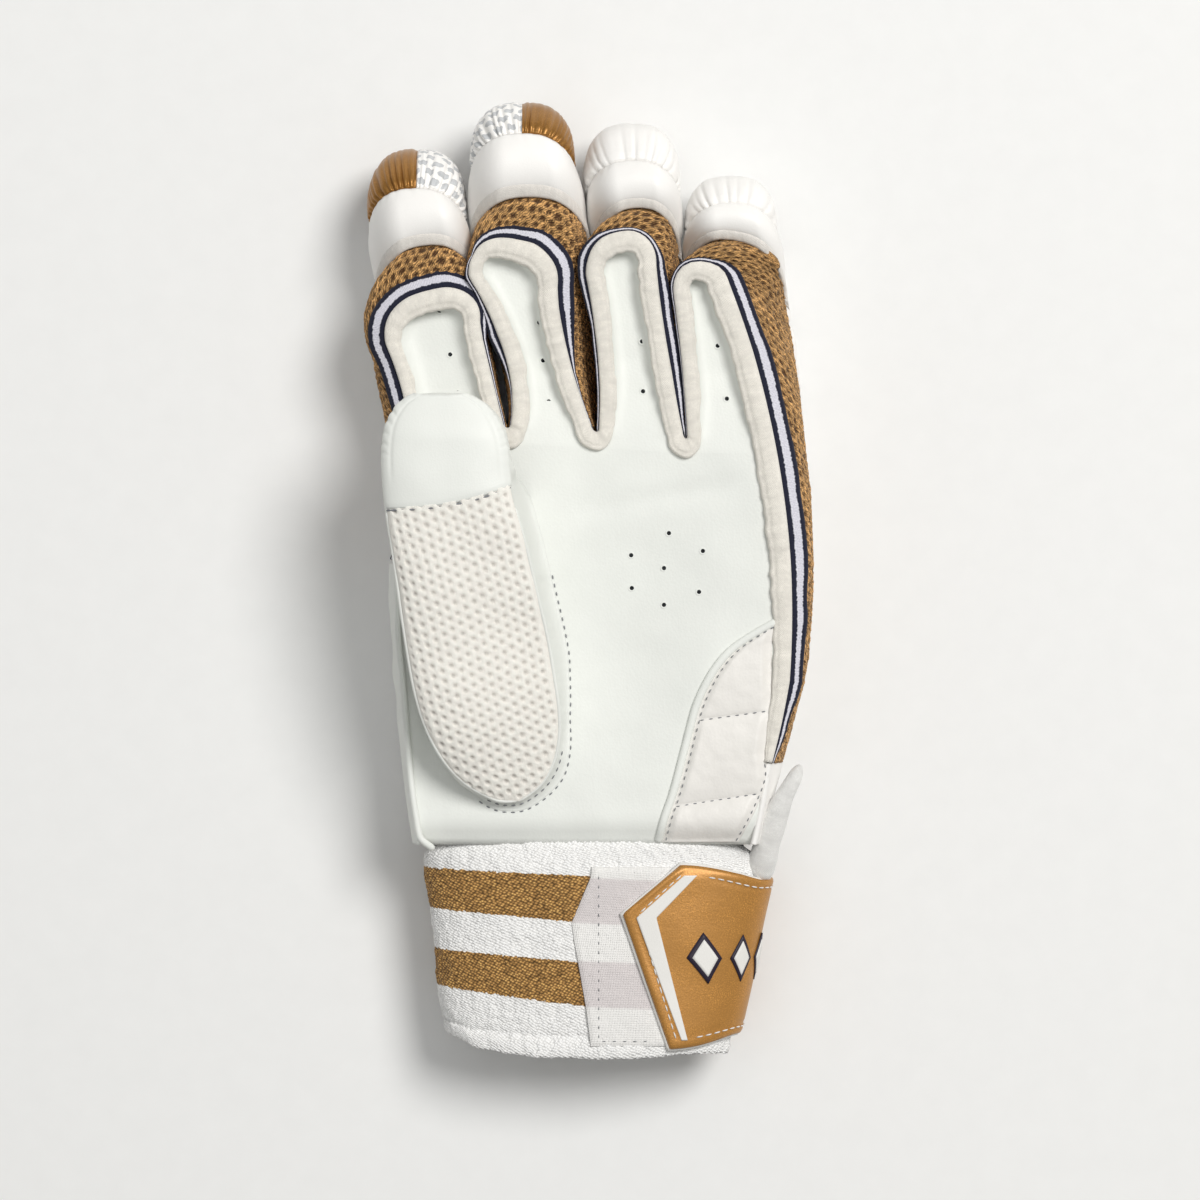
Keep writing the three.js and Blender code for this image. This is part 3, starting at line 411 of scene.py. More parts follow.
def stitches(name, lines, pitch, length, radius, material, up=UP):
    """Short threads along lines: each is a six-sided bead, thin at both ends and bowed up in the middle."""
    starts, aims = [], []
    for line in lines:
        total = run(np.asarray(line, float))[-1]
        dots = spaced(np.asarray(line, float), max(2, int(total / pitch)) + 1)
        starts.append((dots[:-1] + dots[1:]) / 2)
        aims.append(np.diff(dots, axis=0))
    at, aim = np.concatenate(starts), unit(np.concatenate(aims))
    side = unit(np.cross(aim, np.broadcast_to(np.asarray(up, float), aim.shape)))
    top = np.cross(side, aim)
    s = np.linspace(-1, 1, STITCH_RINGS)
    turn = TAU * np.arange(STITCH_SIDES) / STITCH_SIDES
    size = radius * np.sqrt(1 - 0.9 * s**2)
    shapes = ((s * length / 2)[:, None] + 0 * turn, size[:, None] * np.cos(turn),
              size[:, None] * np.sin(turn) + (radius * (0.6 - s**2))[:, None])
    ways = zip(shapes, (aim, side, top))
    points = at[:, None, None] + sum(shape[None, :, :, None] * way[:, None, None] for shape, way in ways)
    caps = np.array([[0, 1, 2, 3], [0, 3, 4, 5], [27, 26, 25, 24], [29, 28, 27, 24]])
    one = quads(cells(STITCH_RINGS - 1, STITCH_SIDES), STITCH_SIDES)[:, TURNED]
    faces = copies(np.concatenate([one, caps]), len(at), STITCH_RINGS * STITCH_SIDES)
    return mesh_of(name, points.reshape(-1, 3), faces, material)


# Materials


def lit(red, green, blue):
    """A screen colour from 0 to 255 as a linear one."""
    return tuple((value / 255) ** 2.2 for value in (red, green, blue)) + (1.0,)


def shade(colour, factor):
    return tuple(min(1.0, c * factor) for c in colour[:3]) + (1.0,)


BLACK, WHITE = (0, 0, 0, 1), (1, 1, 1, 1)


class Finish:
    """A material under construction: each method adds nodes and gives back their output."""

    def __init__(self, name, roughness=0.6, metallic=0.0, sheen=0.0, specular=0.4):
        self.material = bpy.data.materials.new(name)
        self.material.use_nodes = True
        self.tree = self.material.node_tree
        self.surface = self.tree.nodes["Principled BSDF"]
        for key, value in (("Roughness", roughness), ("Metallic", metallic), ("Sheen Weight", sheen),
                           ("Specular IOR Level", specular)):
            self.surface.inputs[key].default_value = value

    def fill(self, node, inputs):
        """Links or sets a node's inputs."""
        for key, value in inputs.items():
            if isinstance(value, bpy.types.NodeSocket):
                self.tree.links.new(value, node.inputs[key])
            else:
                node.inputs[key].default_value = value

    def add(self, kind, output=0, inputs=None, **settings):
        made = self.tree.nodes.new(kind)
        for key, value in settings.items():
            setattr(made, key, value)
        self.fill(made, inputs or {})
        return made.outputs[output]

    def mapped(self, vector, scale, turn):
        inputs = {"Vector": vector, "Scale": scale, "Rotation": (0, 0, turn)}
        return self.add("ShaderNodeMapping", inputs=inputs)

    def place(self, scale=(1, 1, 1), turn=0.0):
        """Object coordinates in millimetres, scaled."""
        coordinates = self.add("ShaderNodeTexCoord", "Object")
        return self.mapped(coordinates, tuple(1000 * value for value in scale), turn)

    def cloth(self, scale=(1, 1, 1), turn=0.0):
        """The piece's own UV map, in millimetres, scaled."""
        return self.mapped(self.add("ShaderNodeUVMap", uv_map="cloth"), scale, turn)

    def mark(self, name):
        """A value that the mesh holds at its points."""
        return self.add("ShaderNodeAttribute", "Fac", attribute_name=name)

    def noise(self, vector, scale=1.0, detail=4.0, rough=0.55):
        inputs = {"Vector": vector, "Scale": scale, "Detail": detail, "Roughness": rough}
        return self.add("ShaderNodeTexNoise", "Fac", inputs)

    def wave(self, vector, scale, distortion, detail=2.0, detail_scale=1.0, way="X"):
        """Even bands."""
        inputs = {"Vector": vector, "Scale": scale, "Distortion": distortion, "Detail": detail,
                  "Detail Scale": detail_scale}
        return self.add("ShaderNodeTexWave", "Fac", inputs, bands_direction=way)

    def cells(self, vector, scale=1.0, random=1.0):
        """Distance from the middle of the nearest cell."""
        inputs = {"Vector": vector, "Scale": scale, "Randomness": random}
        return self.add("ShaderNodeTexVoronoi", "Distance", inputs)

    def sum(self, operation, a, b=0.0, c=0.0):
        return self.add("ShaderNodeMath", inputs={0: a, 1: b, 2: c}, operation=operation)

    def centred(self, value, size):
        """A value from 0 to 1 as one about zero, with that size from end to end."""
        return self.sum("MULTIPLY", self.sum("SUBTRACT", value, 0.5), size)

    def part(self, vector, axis):
        return self.add("ShaderNodeSeparateXYZ", axis, {"Vector": vector})

    def ramp(self, factor, stops):
        """Colours at places from 0 to 1, blended between."""
        made = self.tree.nodes.new("ShaderNodeValToRGB")
        self.tree.links.new(factor, made.inputs["Fac"])
        band = made.color_ramp
        band.elements[0].position, band.elements[0].color = stops[0]
        band.elements[1].position, band.elements[1].color = stops[-1]
        for position, colour in stops[1:-1]:
            band.elements.new(position).color = colour
        return made.outputs["Color"]

    def step(self, factor, low, high):
        """Black below low, white above high."""
        return self.ramp(factor, [(low, BLACK), (high, WHITE)])

    def mix(self, factor, a, b, blend="MIX"):
        made = self.tree.nodes.new("ShaderNodeMix")
        made.data_type, made.blend_type = "RGBA", blend
        self.fill(made, {0: factor, 6: a, 7: b})
        return made.outputs[2]

    def relief(self, height, distance, strength=1.0, under=None):
        """Bumps as deep as a distance in millimetres, on others under them."""
        inputs = {"Height": height, "Distance": distance * 0.001, "Strength": strength}
        if under is not None:
            inputs["Normal"] = under
        return self.add("ShaderNodeBump", inputs=inputs)

    def wear(self, colour, normal=None, roughness=None):
        """Puts colour, relief and roughness on the surface."""
        given = {"Base Color": colour, "Normal": normal, "Roughness": roughness}
        self.fill(self.surface, {key: value for key, value in given.items() if value is not None})
        return self.material


def rgba(colour):
    return tuple(colour) + (1.0,)


MADE = {}


def finish(name):
    """The material of that name, made once."""
    if name not in MADE:
        MADE[name] = FINISHES[name](name)
    return MADE[name]


def leather(name, colour, roughness, pore=0.75, depth=0.05, crease=0.12):
    """Soft leather: pores from cells, longer creases from stretched noise, a slight change of shade."""
    f = Finish(name, roughness, specular=0.35)
    at = f.place()
    pores = f.cells(at, 1 / pore)
    creases = f.noise(f.place((1, 0.35, 1), 0.5), 0.45, 5, 0.6)
    patches = f.noise(at, 0.045, 3)
    base = f.mix(f.step(patches, 0.35, 0.7), shade(colour, 0.955), colour)
    base = f.mix(f.ramp(pores, [(0.0, (0.9, 0.9, 0.9, 1)), (0.35, WHITE)]), base, base)
    grain = f.relief(pores, depth, 0.6, f.relief(creases, crease, 0.5))
    gloss = f.add("ShaderNodeMapRange", inputs={"Value": patches, "From Min": 0.3, "From Max": 0.7,
                                                "To Min": roughness - 0.06, "To Max": roughness + 0.08})
    return f.wear(base, grain, gloss)


def bronze_leather(name, tone, roughness, metal):
    """Metallic bronze leather: a grain of small flakes in lighter and darker tones, the brightest of them
    painted glints, with fine pores.
    """
    f = Finish(name, roughness, metal, specular=0.5)
    at = f.place()
    flakes = f.noise(at, 3.2, 2)
    patches = f.noise(at, 0.09, 3)
    # Flake tones: the darker ones are the leather's own grain; the much lighter ones are painted glints.
    base = f.ramp(flakes, [(0.3, shade(tone, 0.7)), (0.55, tone), (0.72, shade(tone, 1.6))])
    base = f.mix(f.step(patches, 0.35, 0.75), base, shade(tone, 0.86))
    grain = f.relief(f.cells(at, 1.7), 0.05, 0.5, f.relief(f.noise(at, 0.5, 4), 0.1, 0.4))
    return f.wear(base, grain)


def checked_leather(name):
    """White leather printed with staggered rows of rounded silver-grey squares, laid out on the UV map."""
    f = Finish(name, 0.4, specular=0.45)
    pitch = 1000 * sizes().check_pitch
    uv = f.cloth()
    warp = f.centred(f.noise(f.cloth((0.8, 0.8, 1)), 0.35, 2), 0.7)
    row = f.sum("ADD", f.sum("DIVIDE", f.part(uv, "Y"), pitch * 0.86), f.sum("MULTIPLY", warp, 0.5))
    stagger = f.sum("MULTIPLY", f.sum("MODULO", f.sum("FLOOR", row), 2.0), 0.5)
    column = f.sum("ADD", f.sum("ADD", f.sum("DIVIDE", f.part(uv, "X"), pitch), stagger), warp)
    u, v = (f.sum("ABSOLUTE", f.sum("SUBTRACT", f.sum("FRACT", value), 0.5)) for value in (column, row))
    square = f.sum("POWER", f.sum("ADD", f.sum("POWER", u, 4.0), f.sum("POWER", v, 4.0)), 0.25)
    inside = f.ramp(square, [(0.3, WHITE), (0.33, BLACK)])
    grey = rgba(colours().grey)
    tone = f.mix(f.noise(f.cloth(), 0.5, 2), shade(grey, 0.7), shade(grey, 1.25))
    base = f.mix(inside, rgba(colours().pad), tone)
    return f.wear(base, f.relief(inside, 0.06, 0.5, f.relief(f.cells(f.place(), 2.0), 0.03, 0.4)))


def finger_knit(name):
    """Chunky bronze knit: its colour follows the relief of the holes, with painted shade down in the holes
    and painted highlights on the strands' tops, and a twist along each strand.
    """
    f = Finish(name, 0.72, sheen=0.08, specular=0.3)
    uv = f.cloth()
    twist = f.wave(f.cloth((1, 1, 1), 0.7), 0.42, 9.0, 2.0, 1.4)
    light, dark = rgba(colours().knit_light), rgba(colours().knit_hole_shade)
    flecks = f.noise(uv, 1.9, 3)
    height = f.sum("ADD", f.mark("relief"), f.centred(twist, 0.4))
    height = f.sum("ADD", height, f.centred(flecks, 1.3))
    # Painted shade deep in the holes, painted highlights on the strands' tops.
    stops = [(0.08, dark), (0.34, shade(light, 0.36)), (0.62, shade(light, 0.8)), (0.84, shade(light, 1.15)),
             (1.0, shade(light, 1.9))]
    return f.wear(f.ramp(height, stops), f.relief(twist, 0.3, 0.9, f.relief(flecks, 0.35, 0.8)))


def finger_tape(name):
    """Woven tape: navy along both edges and pale lilac between, with ribs and slightly ragged lines."""
    f = Finish(name, 0.85, sheen=0.1, specular=0.2)
    uv = f.cloth()
    ragged = f.centred(f.noise(uv, 1.3, 2), 0.7)
    place = f.sum("DIVIDE", f.sum("ADD", f.mark("edge"), ragged), 4.0)
    navy, pale = rgba(colours().navy), lit(228, 227, 236)
    lines = f.ramp(place, [(0.235, navy), (0.275, pale)])
    ribs = f.wave(uv, 0.7, 2.5, 1.0)
    base = f.mix(f.sum("MULTIPLY", ribs, 0.14), lines, shade(pale, 0.45), "MULTIPLY")
    specks = f.ramp(f.noise(uv, 2.4, 2), [(0.35, (0.82, 0.82, 0.85, 1)), (0.6, WHITE)])
    base = f.mix(1.0, base, specks, "MULTIPLY")
    return f.wear(base, f.relief(ribs, 0.1, 0.9, f.relief(f.noise(uv, 2.2, 2), 0.14, 0.7)))


def cotton(name, colour, strength=1.0):
    """Brushed cotton: a fine diagonal weave under fuzz, with soft folds painted in as darker shade."""
    f = Finish(name, 0.92, sheen=0.5, specular=0.15)
    f.surface.inputs["Sheen Roughness"].default_value = 0.5
    weave = f.wave(f.cloth((1, 1, 1), 0.8), 0.85, 1.4, 1.0)
    fuzz = f.noise(f.place(), 2.6, 4, 0.7)
    folds = f.noise(f.cloth((1, 0.4, 1)), 0.5, 3)
    base = f.mix(f.step(fuzz, 0.3, 0.7), shade(colour, 0.86), shade(colour, 1.05))
    # Painted shade: stretched noise darkens the colour in soft bands, as the shade in folds.
    base = f.mix(f.ramp(folds, [(0.35, WHITE), (0.6, BLACK)]), base, shade(colour, 0.86))
    return f.wear(base, f.relief(fuzz, 0.3 * strength, 0.7, f.relief(weave, 0.14, 0.6)))


def spacer_cloth(name):
    """Spacer mesh: pale, with painted shade down in its dimples, and crossing yarns on the ridges."""
    f = Finish(name, 0.85, sheen=0.3, specular=0.2)
    tone = rgba(colours().spacer)
    yarn = f.wave(f.cloth((1, 1, 1), 0.5), 0.95, 3.0)
    fuzz = f.noise(f.place(), 2.4, 3, 0.7)
    # Painted shade down in the dimples, a little painted highlight on the ridges.
    stops = [(0.05, shade(tone, 0.68)), (0.35, shade(tone, 0.84)), (0.65, tone), (1.0, shade(tone, 1.08))]
    height = f.sum("ADD", f.mark("relief"), f.centred(fuzz, 0.5))
    return f.wear(f.ramp(height, stops), f.relief(fuzz, 0.25, 0.7, f.relief(yarn, 0.14, 0.7)))


def towelling(name):
    """Terry loops: small beads in staggered rows, each with a painted highlight on top and painted shade in
    the gaps between.
    Two bronze stripes follow the stripe mark, their borders a little ragged."""
    f = Finish(name, 0.95, sheen=0.12, specular=0.15)
    pitch = 1000 * sizes().loop_pitch
    loops = f.cells(f.cloth((1, 1.35, 1), 0.55), 1 / pitch, random=0.42)
    fuzz = f.noise(f.place(), 2.6, 3, 0.7)
    white, bronze = rgba(colours().towel), rgba(colours().stripe)
    # Painted highlight on each loop's top and painted shade in the gaps, in both the white and the bronze.
    pale = f.ramp(loops, [(0.15, shade(white, 1.06)), (0.5, shade(white, 0.97)), (0.8, shade(white, 0.8))])
    gold = f.ramp(loops, [(0.1, shade(bronze, 2.6)), (0.26, shade(bronze, 1.3)), (0.5, shade(bronze, 0.62)),
                          (0.76, shade(bronze, 0.18))])
    ragged = f.sum("ADD", f.mark("stripe"), f.centred(f.noise(f.cloth(), 0.9, 2), 1.6))
    inside = f.step(f.sum("ADD", f.sum("MULTIPLY", ragged, 0.5), 0.5), 0.46, 0.54)
    up = f.sum("SUBTRACT", 1.0, loops)
    return f.wear(f.mix(inside, pale, gold), f.relief(up, 0.6, 0.85, f.relief(fuzz, 0.25, 0.6)))


def loop_cloth(name):
    """Flat-woven loop cloth: a fine square weave, lilac-grey in two bands that carry on the stripes."""
    f = Finish(name, 0.95, sheen=0.4, specular=0.1)
    uv = f.cloth()
    weave = f.sum("MULTIPLY", f.wave(uv, 0.62, 1.2), f.wave(uv, 0.62, 1.2, way="Y"))
    band = f.mix(weave, lit(218, 210, 210), lit(246, 242, 240))
    plain = f.mix(weave, lit(244, 242, 239), lit(252, 251, 249))
    specks = f.ramp(f.cells(uv, 0.45), [(0.03, (0.45, 0.42, 0.44, 1)), (0.09, WHITE)])
    base = f.mix(1.0, f.mix(f.mark("stripe"), plain, band), specks, "MULTIPLY")
    return f.wear(base, f.relief(weave, 0.2, 0.8, f.relief(f.noise(uv, 1.6, 3), 0.25, 0.6)))


def speckled(name, dark, light, scale, roughness, high=0.7, detail=2, depth=0.0, sheen=0.0, specular=0.1):
    """Noise between two tones, with relief where a depth is given."""
    f = Finish(name, roughness, sheen=sheen, specular=specular)
    grain = f.noise(f.place(), scale, detail)
    tones = f.ramp(grain, [(0.3, dark), (high, light)])
    return f.wear(tones, f.relief(grain, depth, 0.6) if depth else None)


def bronze():
    return rgba(colours().bronze)


def thread():
    return rgba(colours().thread)


FINISHES = {
    "palm_hide": lambda name: leather(name, rgba(colours().hide), 0.5),
    "thumb_hide": lambda name: leather(name, rgba(colours().hide), 0.44, 0.6, 0.04, 0.06),
    "heel_hide": lambda name: leather(name, lit(236, 233, 228), 0.48, 0.8, 0.06, 0.16),
    "pad_leather": lambda name: leather(name, rgba(colours().pad), 0.42, 0.5, 0.035, 0.05),
    "white_print": lambda name: leather(name, lit(232, 230, 226), 0.38, 0.45, 0.02, 0.03),
    "navy_print": lambda name: leather(name, lit(44, 36, 52), 0.45, 0.45, 0.02, 0.03),
    "bronze_leather": lambda name: bronze_leather(name, shade(bronze(), 0.72), 0.34, 0.5),
    "strap_leather": lambda name: bronze_leather(name, bronze(), 0.42, 0.3),
    "checked_leather": checked_leather,
    "finger_knit": finger_knit,
    "finger_tape": finger_tape,
    "binding_cotton": lambda name: cotton(name, rgba(colours().binding)),
    "lining_cloth": lambda name: cotton(name, lit(238, 233, 226), 0.7),
    "towel_plain": lambda name: cotton(name, lit(244, 243, 240), 0.8),
    "spacer_cloth": spacer_cloth,
    "towelling": towelling,
    "loop_cloth": loop_cloth,
    # A dark disc inside each punched hole: painted shade.
    "dark_hole": lambda name: speckled(name, lit(26, 28, 30), lit(58, 60, 62), 1.5, 0.9, 0.8),
    # Grey thread: partly the stitches' own colour, partly painted shade of their holes.
    "grey_thread": lambda name: speckled(name, shade(thread(), 0.7), shade(thread(), 1.4), 3.0, 0.8,
                                         depth=0.08, sheen=0.2, specular=0.2),
    "white_thread": lambda name: speckled(name, lit(205, 202, 198), lit(245, 243, 240), 3.0, 0.75,
                                          depth=0.08, sheen=0.3, specular=0.25),
    "floor_paper": lambda name: speckled(name, lit(238, 238, 237), lit(240, 240, 239), 0.12, 0.9, detail=3),
}


# The hand's outlines, as shares of half its width and of its length

BORDERS = [
    {"top_x": -1, "top_y": 0.854, "x": -0.867, "y": 0.381, "bow": 0.025, "inset": 0.03},
    {"top_x": -0.531, "top_y": 0.79, "x": -0.348, "y": 0.541, "bow": 0.03, "inset": 0.06},
    {"top_x": -0.05, "top_y": 0.925, "x": 0.053, "y": 0.536, "bow": 0.055, "inset": 0.06},
    {"top_x": 0.431, "top_y": 0.893, "x": 0.452, "y": 0.529, "bow": 0, "inset": 0.06},
    {"top_x": 0.87, "top_y": 0.819, "x": 0.891, "y": 0.112, "bow": 0.133, "inset": 0.09},
]
FINGERS = [
    {"name": "index", "tip": 0.939, "end": 0.085, "foot_top": 0.813, "foot_tilt": 0.1, "band_top": 0.888,
     "left": -0.836, "right": -0.545, "front_top": 0.72, "tilt": 0.23, "bow_left": 0.095, "bow_right": 0},
    {"name": "middle", "tip": 1, "end": 0.075, "foot_top": 0.878, "foot_tilt": 0, "band_top": 0.961,
     "left": -0.468, "right": -0.211, "front_top": 0.789, "tilt": -0.28, "bow_left": 0.094,
     "bow_right": -0.03},
    {"name": "ring", "tip": 0.973, "end": 0.08, "foot_top": 0.862, "foot_tilt": 0, "band_top": 0.925,
     "left": 0.07, "right": 0.234, "front_top": 0.798, "tilt": 0.2, "bow_left": 0.03, "bow_right": -0.015},
    {"name": "little", "tip": 0.899, "end": 0.08, "foot_top": 0.818, "foot_tilt": -0.2, "band_top": 0.869,
     "left": 0.455, "right": 0.55, "front_top": 0.763, "tilt": 0, "bow_left": 0.01, "bow_right": 0.136},
]
# x of the lines between lanes at the wrist
LANES = [-0.73, -0.25, 0.03, 0.31, 0.735]
END_SHARE = 10 / 24
def curl(y):
    """How far the hand curls up towards the fingertips."""
    return 8 * np.maximum(0, (np.asarray(y) / HAND_LENGTH - 0.55) / 0.45) ** 2


def palm_height(x, y):
    """The palm's surface: level, curling up towards the fingertips, with a shallow bowl in the middle."""
    bowl = 2.5 * np.exp(-((x / 35.2) ** 2) - ((y - 63.6) / 36.04) ** 2)
    return PALM_TOP + curl(y) - bowl


def valley_x(k):
    return across(BORDERS[k]["x"])


def valley_y(k):
    return along(BORDERS[k]["y"])


def border_x(k, y):
    """The line between two fingers: straight from its top to its valley, plus a bow."""
    border = BORDERS[k]
    b = np.maximum(0, (along(border["top_y"]) - y) / (along(border["top_y"]) - valley_y(k)))
    return lerp(across(border["top_x"]), valley_x(k), b) + across(border["bow"]) * 4 * b * (1 - b)


class Outline:
    """An arch-shaped outline of one finger: at an inset from its borders, or the leather front's edge."""

    def __init__(self, finger, kind):
        f = FINGERS[finger]
        foot = KNIT + 2 * SEAM
        half = (across(f["right"]) - across(f["left"])) / 2
        inset, top, end, tilt, square = {
            "front": (0, along(f["front_top"]), min(half, along(0.03)), f["tilt"], 2.7),
            "foot": (foot, along(f["foot_top"]) - foot, along(0.062), f["foot_tilt"], 2.2),
            "lip": (SEAM, along(f["foot_top"]), along(0.062), f["foot_tilt"], 2.2),
            "band": (SEAM, along(f["band_top"]), along(0.05), 0, 2.15),
            "outer": (SEAM, along(f["tip"]), along(f["end"]), 0, 2.5),
        }[kind]
        self.finger, self.kind, self.inset, self.top, self.tilt = finger, kind, inset, top, tilt
        self.shoulder = top - end
        self.power = 2 / square

    def valley(self, side):
        return valley_y(self.finger + (side > 0))

    def side_x(self, side, y):
        """x of one side at a height y, kept above its valley."""
        border = BORDERS[self.finger + (side > 0)]
        y = np.maximum(y, self.valley(side))
        if self.kind != "front":
            return border_x(self.finger + (side > 0), y) - side * self.inset
        f = FINGERS[self.finger]
        b = np.clip((self.shoulder - y) / (self.shoulder - along(border["y"])), 0, 1)
        start = across(f["right"] if side > 0 else f["left"])
        bow = across(f["bow_right"] if side > 0 else f["bow_left"])
        return lerp(start, across(border["x"]) - side * across(border["inset"]), b) + bow * 4 * b * (1 - b)

    def side_point(self, side, b):
        """A point on one side: b is 0 at the shoulder and 1 at the valley."""
        y = lerp(self.shoulder, self.valley(side), b)
        wide = self.side_x(1, self.shoulder) - self.side_x(-1, self.shoulder)
        return np.stack([self.side_x(side, y), y + self.tilt * side * wide / 2 * (1 - b) ** 2], axis=-1)

    def arch(self, t):
        """Points from the left valley (t = -1) round a superellipse end (0) to the right valley (1)."""
        t = np.asarray(t, float)
        a = np.minimum(np.abs(t), 1)
        side = np.where(t < 0, -1.0, 1.0)
        left, right = self.side_x(-1, self.shoulder), self.side_x(1, self.shoulder)
        turn = np.clip(a / END_SHARE, 0, 1) * math.pi / 2
        wide = side * np.sin(turn) ** self.power
        y = self.shoulder + (self.top - self.shoulder) * np.maximum(0, np.cos(turn)) ** self.power
        half = (right - left) / 2
        end = np.stack([(left + right) / 2 + half * wide, y + self.tilt * wide * half], axis=-1)
        b = np.clip((a - END_SHARE) / (1 - END_SHARE), 0, 1)
        sides = np.where(side[..., None] < 0, self.side_point(-1, b), self.side_point(1, b))
        return np.where(a[..., None] > END_SHARE, sides, end)

    def share_at(self, side, y):
        """The t at which one side reaches a height y."""
        b = (self.shoulder - y) / (self.shoulder - self.valley(side))
        return side * (END_SHARE + (1 - END_SHARE) * b)


# Widths in millimetres along each finger's edge, at places t from the left valley over the end to the right:
# the cotton binding, the striped tape outside it, and how far the knit bulges out
RIM_PLACES = (-1, -0.8, -0.6, -0.45, -0.3, -0.1, 0.1, 0.3, 0.5, 0.75, 0.9, 1)


RIMS = {
    "index": {"binding": (1.6, 2.2, 3.0, 3.6, 4.4, 5.4, 5.8, 5.2, 4.2, 4.0, 3.8, 3.6),
              "tape": (1.0, 2.6, 4.2, 4.4, 4.8, 4.8, 4.8, 3.6, 1.0, 0.7, 0.6, 0.5),
              "bulge": (0.0, 0.8, 3.0, 3.2, 2.4, 1.6, 1.2, 1.0, 0.4, 0.0, 0.0, 0.0)},
    "middle": {"binding": (4.0, 4.2, 4.4, 3.6, 3.2, 5.0, 6.4, 6.0, 4.8, 4.4, 4.2, 4.0),
               "tape": (0.4, 0.6, 2.4, 1.0, 0.7, 3.4, 4.8, 4.8, 4.6, 0.6, 0.4, 0.3),
               "bulge": (0.0, 0.0, 0.0, 0.2, 0.6, 1.0, 1.2, 1.2, 0.8, 0.4, 0.2, 0.0)},
    "ring": {"binding": (3.8, 4.0, 4.4, 4.4, 4.4, 5.4, 5.8, 5.2, 4.8, 4.6, 4.0, 3.6),
             "tape": (0.9, 0.9, 0.9, 2.0, 3.0, 1.8, 1.1, 1.6, 3.4, 3.0, 1.4, 0.4),
             "bulge": (0.0, 0.0, 0.0, 0.2, 0.8, 1.2, 1.2, 1.2, 0.8, 0.0, 0.0, 0.0)},
    "little": {"binding": (3.4, 3.8, 4.0, 4.2, 4.2, 4.6, 4.8, 5.4, 6.0, 5.4, 4.6, 1.8),
               "tape": (0.4, 0.5, 0.6, 0.7, 0.8, 1.0, 1.4, 3.2, 4.9, 5.0, 3.6, 0.6),
               "bulge": (0.0, 0.0, 0.0, 0.2, 0.6, 1.0, 1.2, 1.6, 2.0, 2.2, 2.2, 1.6)},
}


def crotch_drop(i, t):
    """How far tape and knit sink at their ends in the crotches, under the binding."""
    left = smooth(-t, 0.93, 0.985) if i else 0 * t
    right = smooth(t, 0.93, 0.985) if i < 3 else 0 * t
    return 2.6 * np.maximum(left, right)


class Rim:
    """The edge of one finger's front at places t: its points, the way outwards and the widths along it."""

    def __init__(self, i, t):
        ring, step = OUTLINES[i]["front"], 0.004
        edge = ring.arch(t)
        ahead = ring.arch(np.clip(t + step, -1, 1)) - ring.arch(np.clip(t - step, -1, 1))
        ahead /= np.linalg.norm(ahead, axis=1, keepdims=True) + 1e-9
        out = np.stack([-ahead[:, 1], ahead[:, 0]], axis=-1)
        window = np.hanning(max(5, len(t) // 14) | 1)
        half = len(window) // 2
        padded = np.concatenate([np.repeat(out[:1], half, axis=0), out, np.repeat(out[-1:], half, axis=0)])
        out = np.stack([np.convolve(padded[:, k], window, "valid") for k in (0, 1)], axis=-1)
        out /= np.linalg.norm(out, axis=1, keepdims=True)
        z = palm_height(edge[:, 0], edge[:, 1])
        self.edge = xyz(edge[:, 0], edge[:, 1], z)
        self.out = xyz(out[:, 0], out[:, 1], 0 * z)
        table = RIMS[FINGERS[i]["name"]]
        self.binding, self.tape, self.bulge = (np.interp(t, RIM_PLACES, table[key])
                                               for key in ("binding", "tape", "bulge"))
        self.binding_edge = self.edge + self.out * self.binding[:, None] - [0, 0, 0.5]
        self.tape_edge = self.binding_edge + self.out * self.tape[:, None]
        self.tape_edge[:, 2] -= 0.42 * self.tape
        self.foot = wall_surface(i, t, 1.0 + 0 * t)


OUTLINES = [{kind: Outline(i, kind) for kind in ("front", "foot", "lip", "band", "outer")} for i in range(4)]


def hand_edge(kind, side, y):
    """The hand's left or right edge below the fingers."""
    ring = OUTLINES[0 if side < 0 else 3][kind]
    valley = ring.valley(side)
    b = np.clip(1 - y / valley, 0, 1.2)
    wrist = across(LANES[0] if side < 0 else LANES[-1])
    bow = (-1 if side < 0 else 0.3) * across(0.09)
    below = lerp(ring.side_x(side, valley), wrist, b) + bow * b * (1 - b)
    return np.where(y >= valley, ring.side_x(side, y), below)


def wall_surface(i, t, v):
    """The finger's wall, bulged out from the leather's edge (v = 0) down to the padding (v = 1)."""
    t, v = np.broadcast_arrays(np.asarray(t, float), v)
    a, b = OUTLINES[i]["front"].arch(t), OUTLINES[i]["foot"].arch(t)
    end = 1 - smooth(np.abs(t), END_SHARE * 0.2, END_SHARE * 1.15)
    low = SHELL_TOP + SEAM + curl(b[..., 1])
    high = lerp(low, palm_height(b[..., 0], b[..., 1]), 0.8)
    top = xyz(a[..., 0], a[..., 1], palm_height(a[..., 0], a[..., 1]))
    bottom = xyz(b[..., 0], b[..., 1], lerp(low, high, end))
    p = lerp(top, bottom, v[..., None])
    p[..., 2] += 1.6 * np.sin(math.pi * np.clip(v, 0, 1))
    return p


def finger_core(i):
    foot = OUTLINES[i]["foot"]
    middle = (foot.side_x(-1, foot.shoulder) + foot.side_x(1, foot.shoulder)) / 2
    return np.array([middle, foot.shoulder - 20, 20])


def arch_steps(i, kind, count, low=-1.0, high=1.0):
    """Values of t that lie evenly along a finger's outline."""
    t = np.linspace(low, high, 1501)
    length = run(OUTLINES[i][kind].arch(t))
    return np.interp(np.linspace(0, length[-1], count), length, t)


# Palm


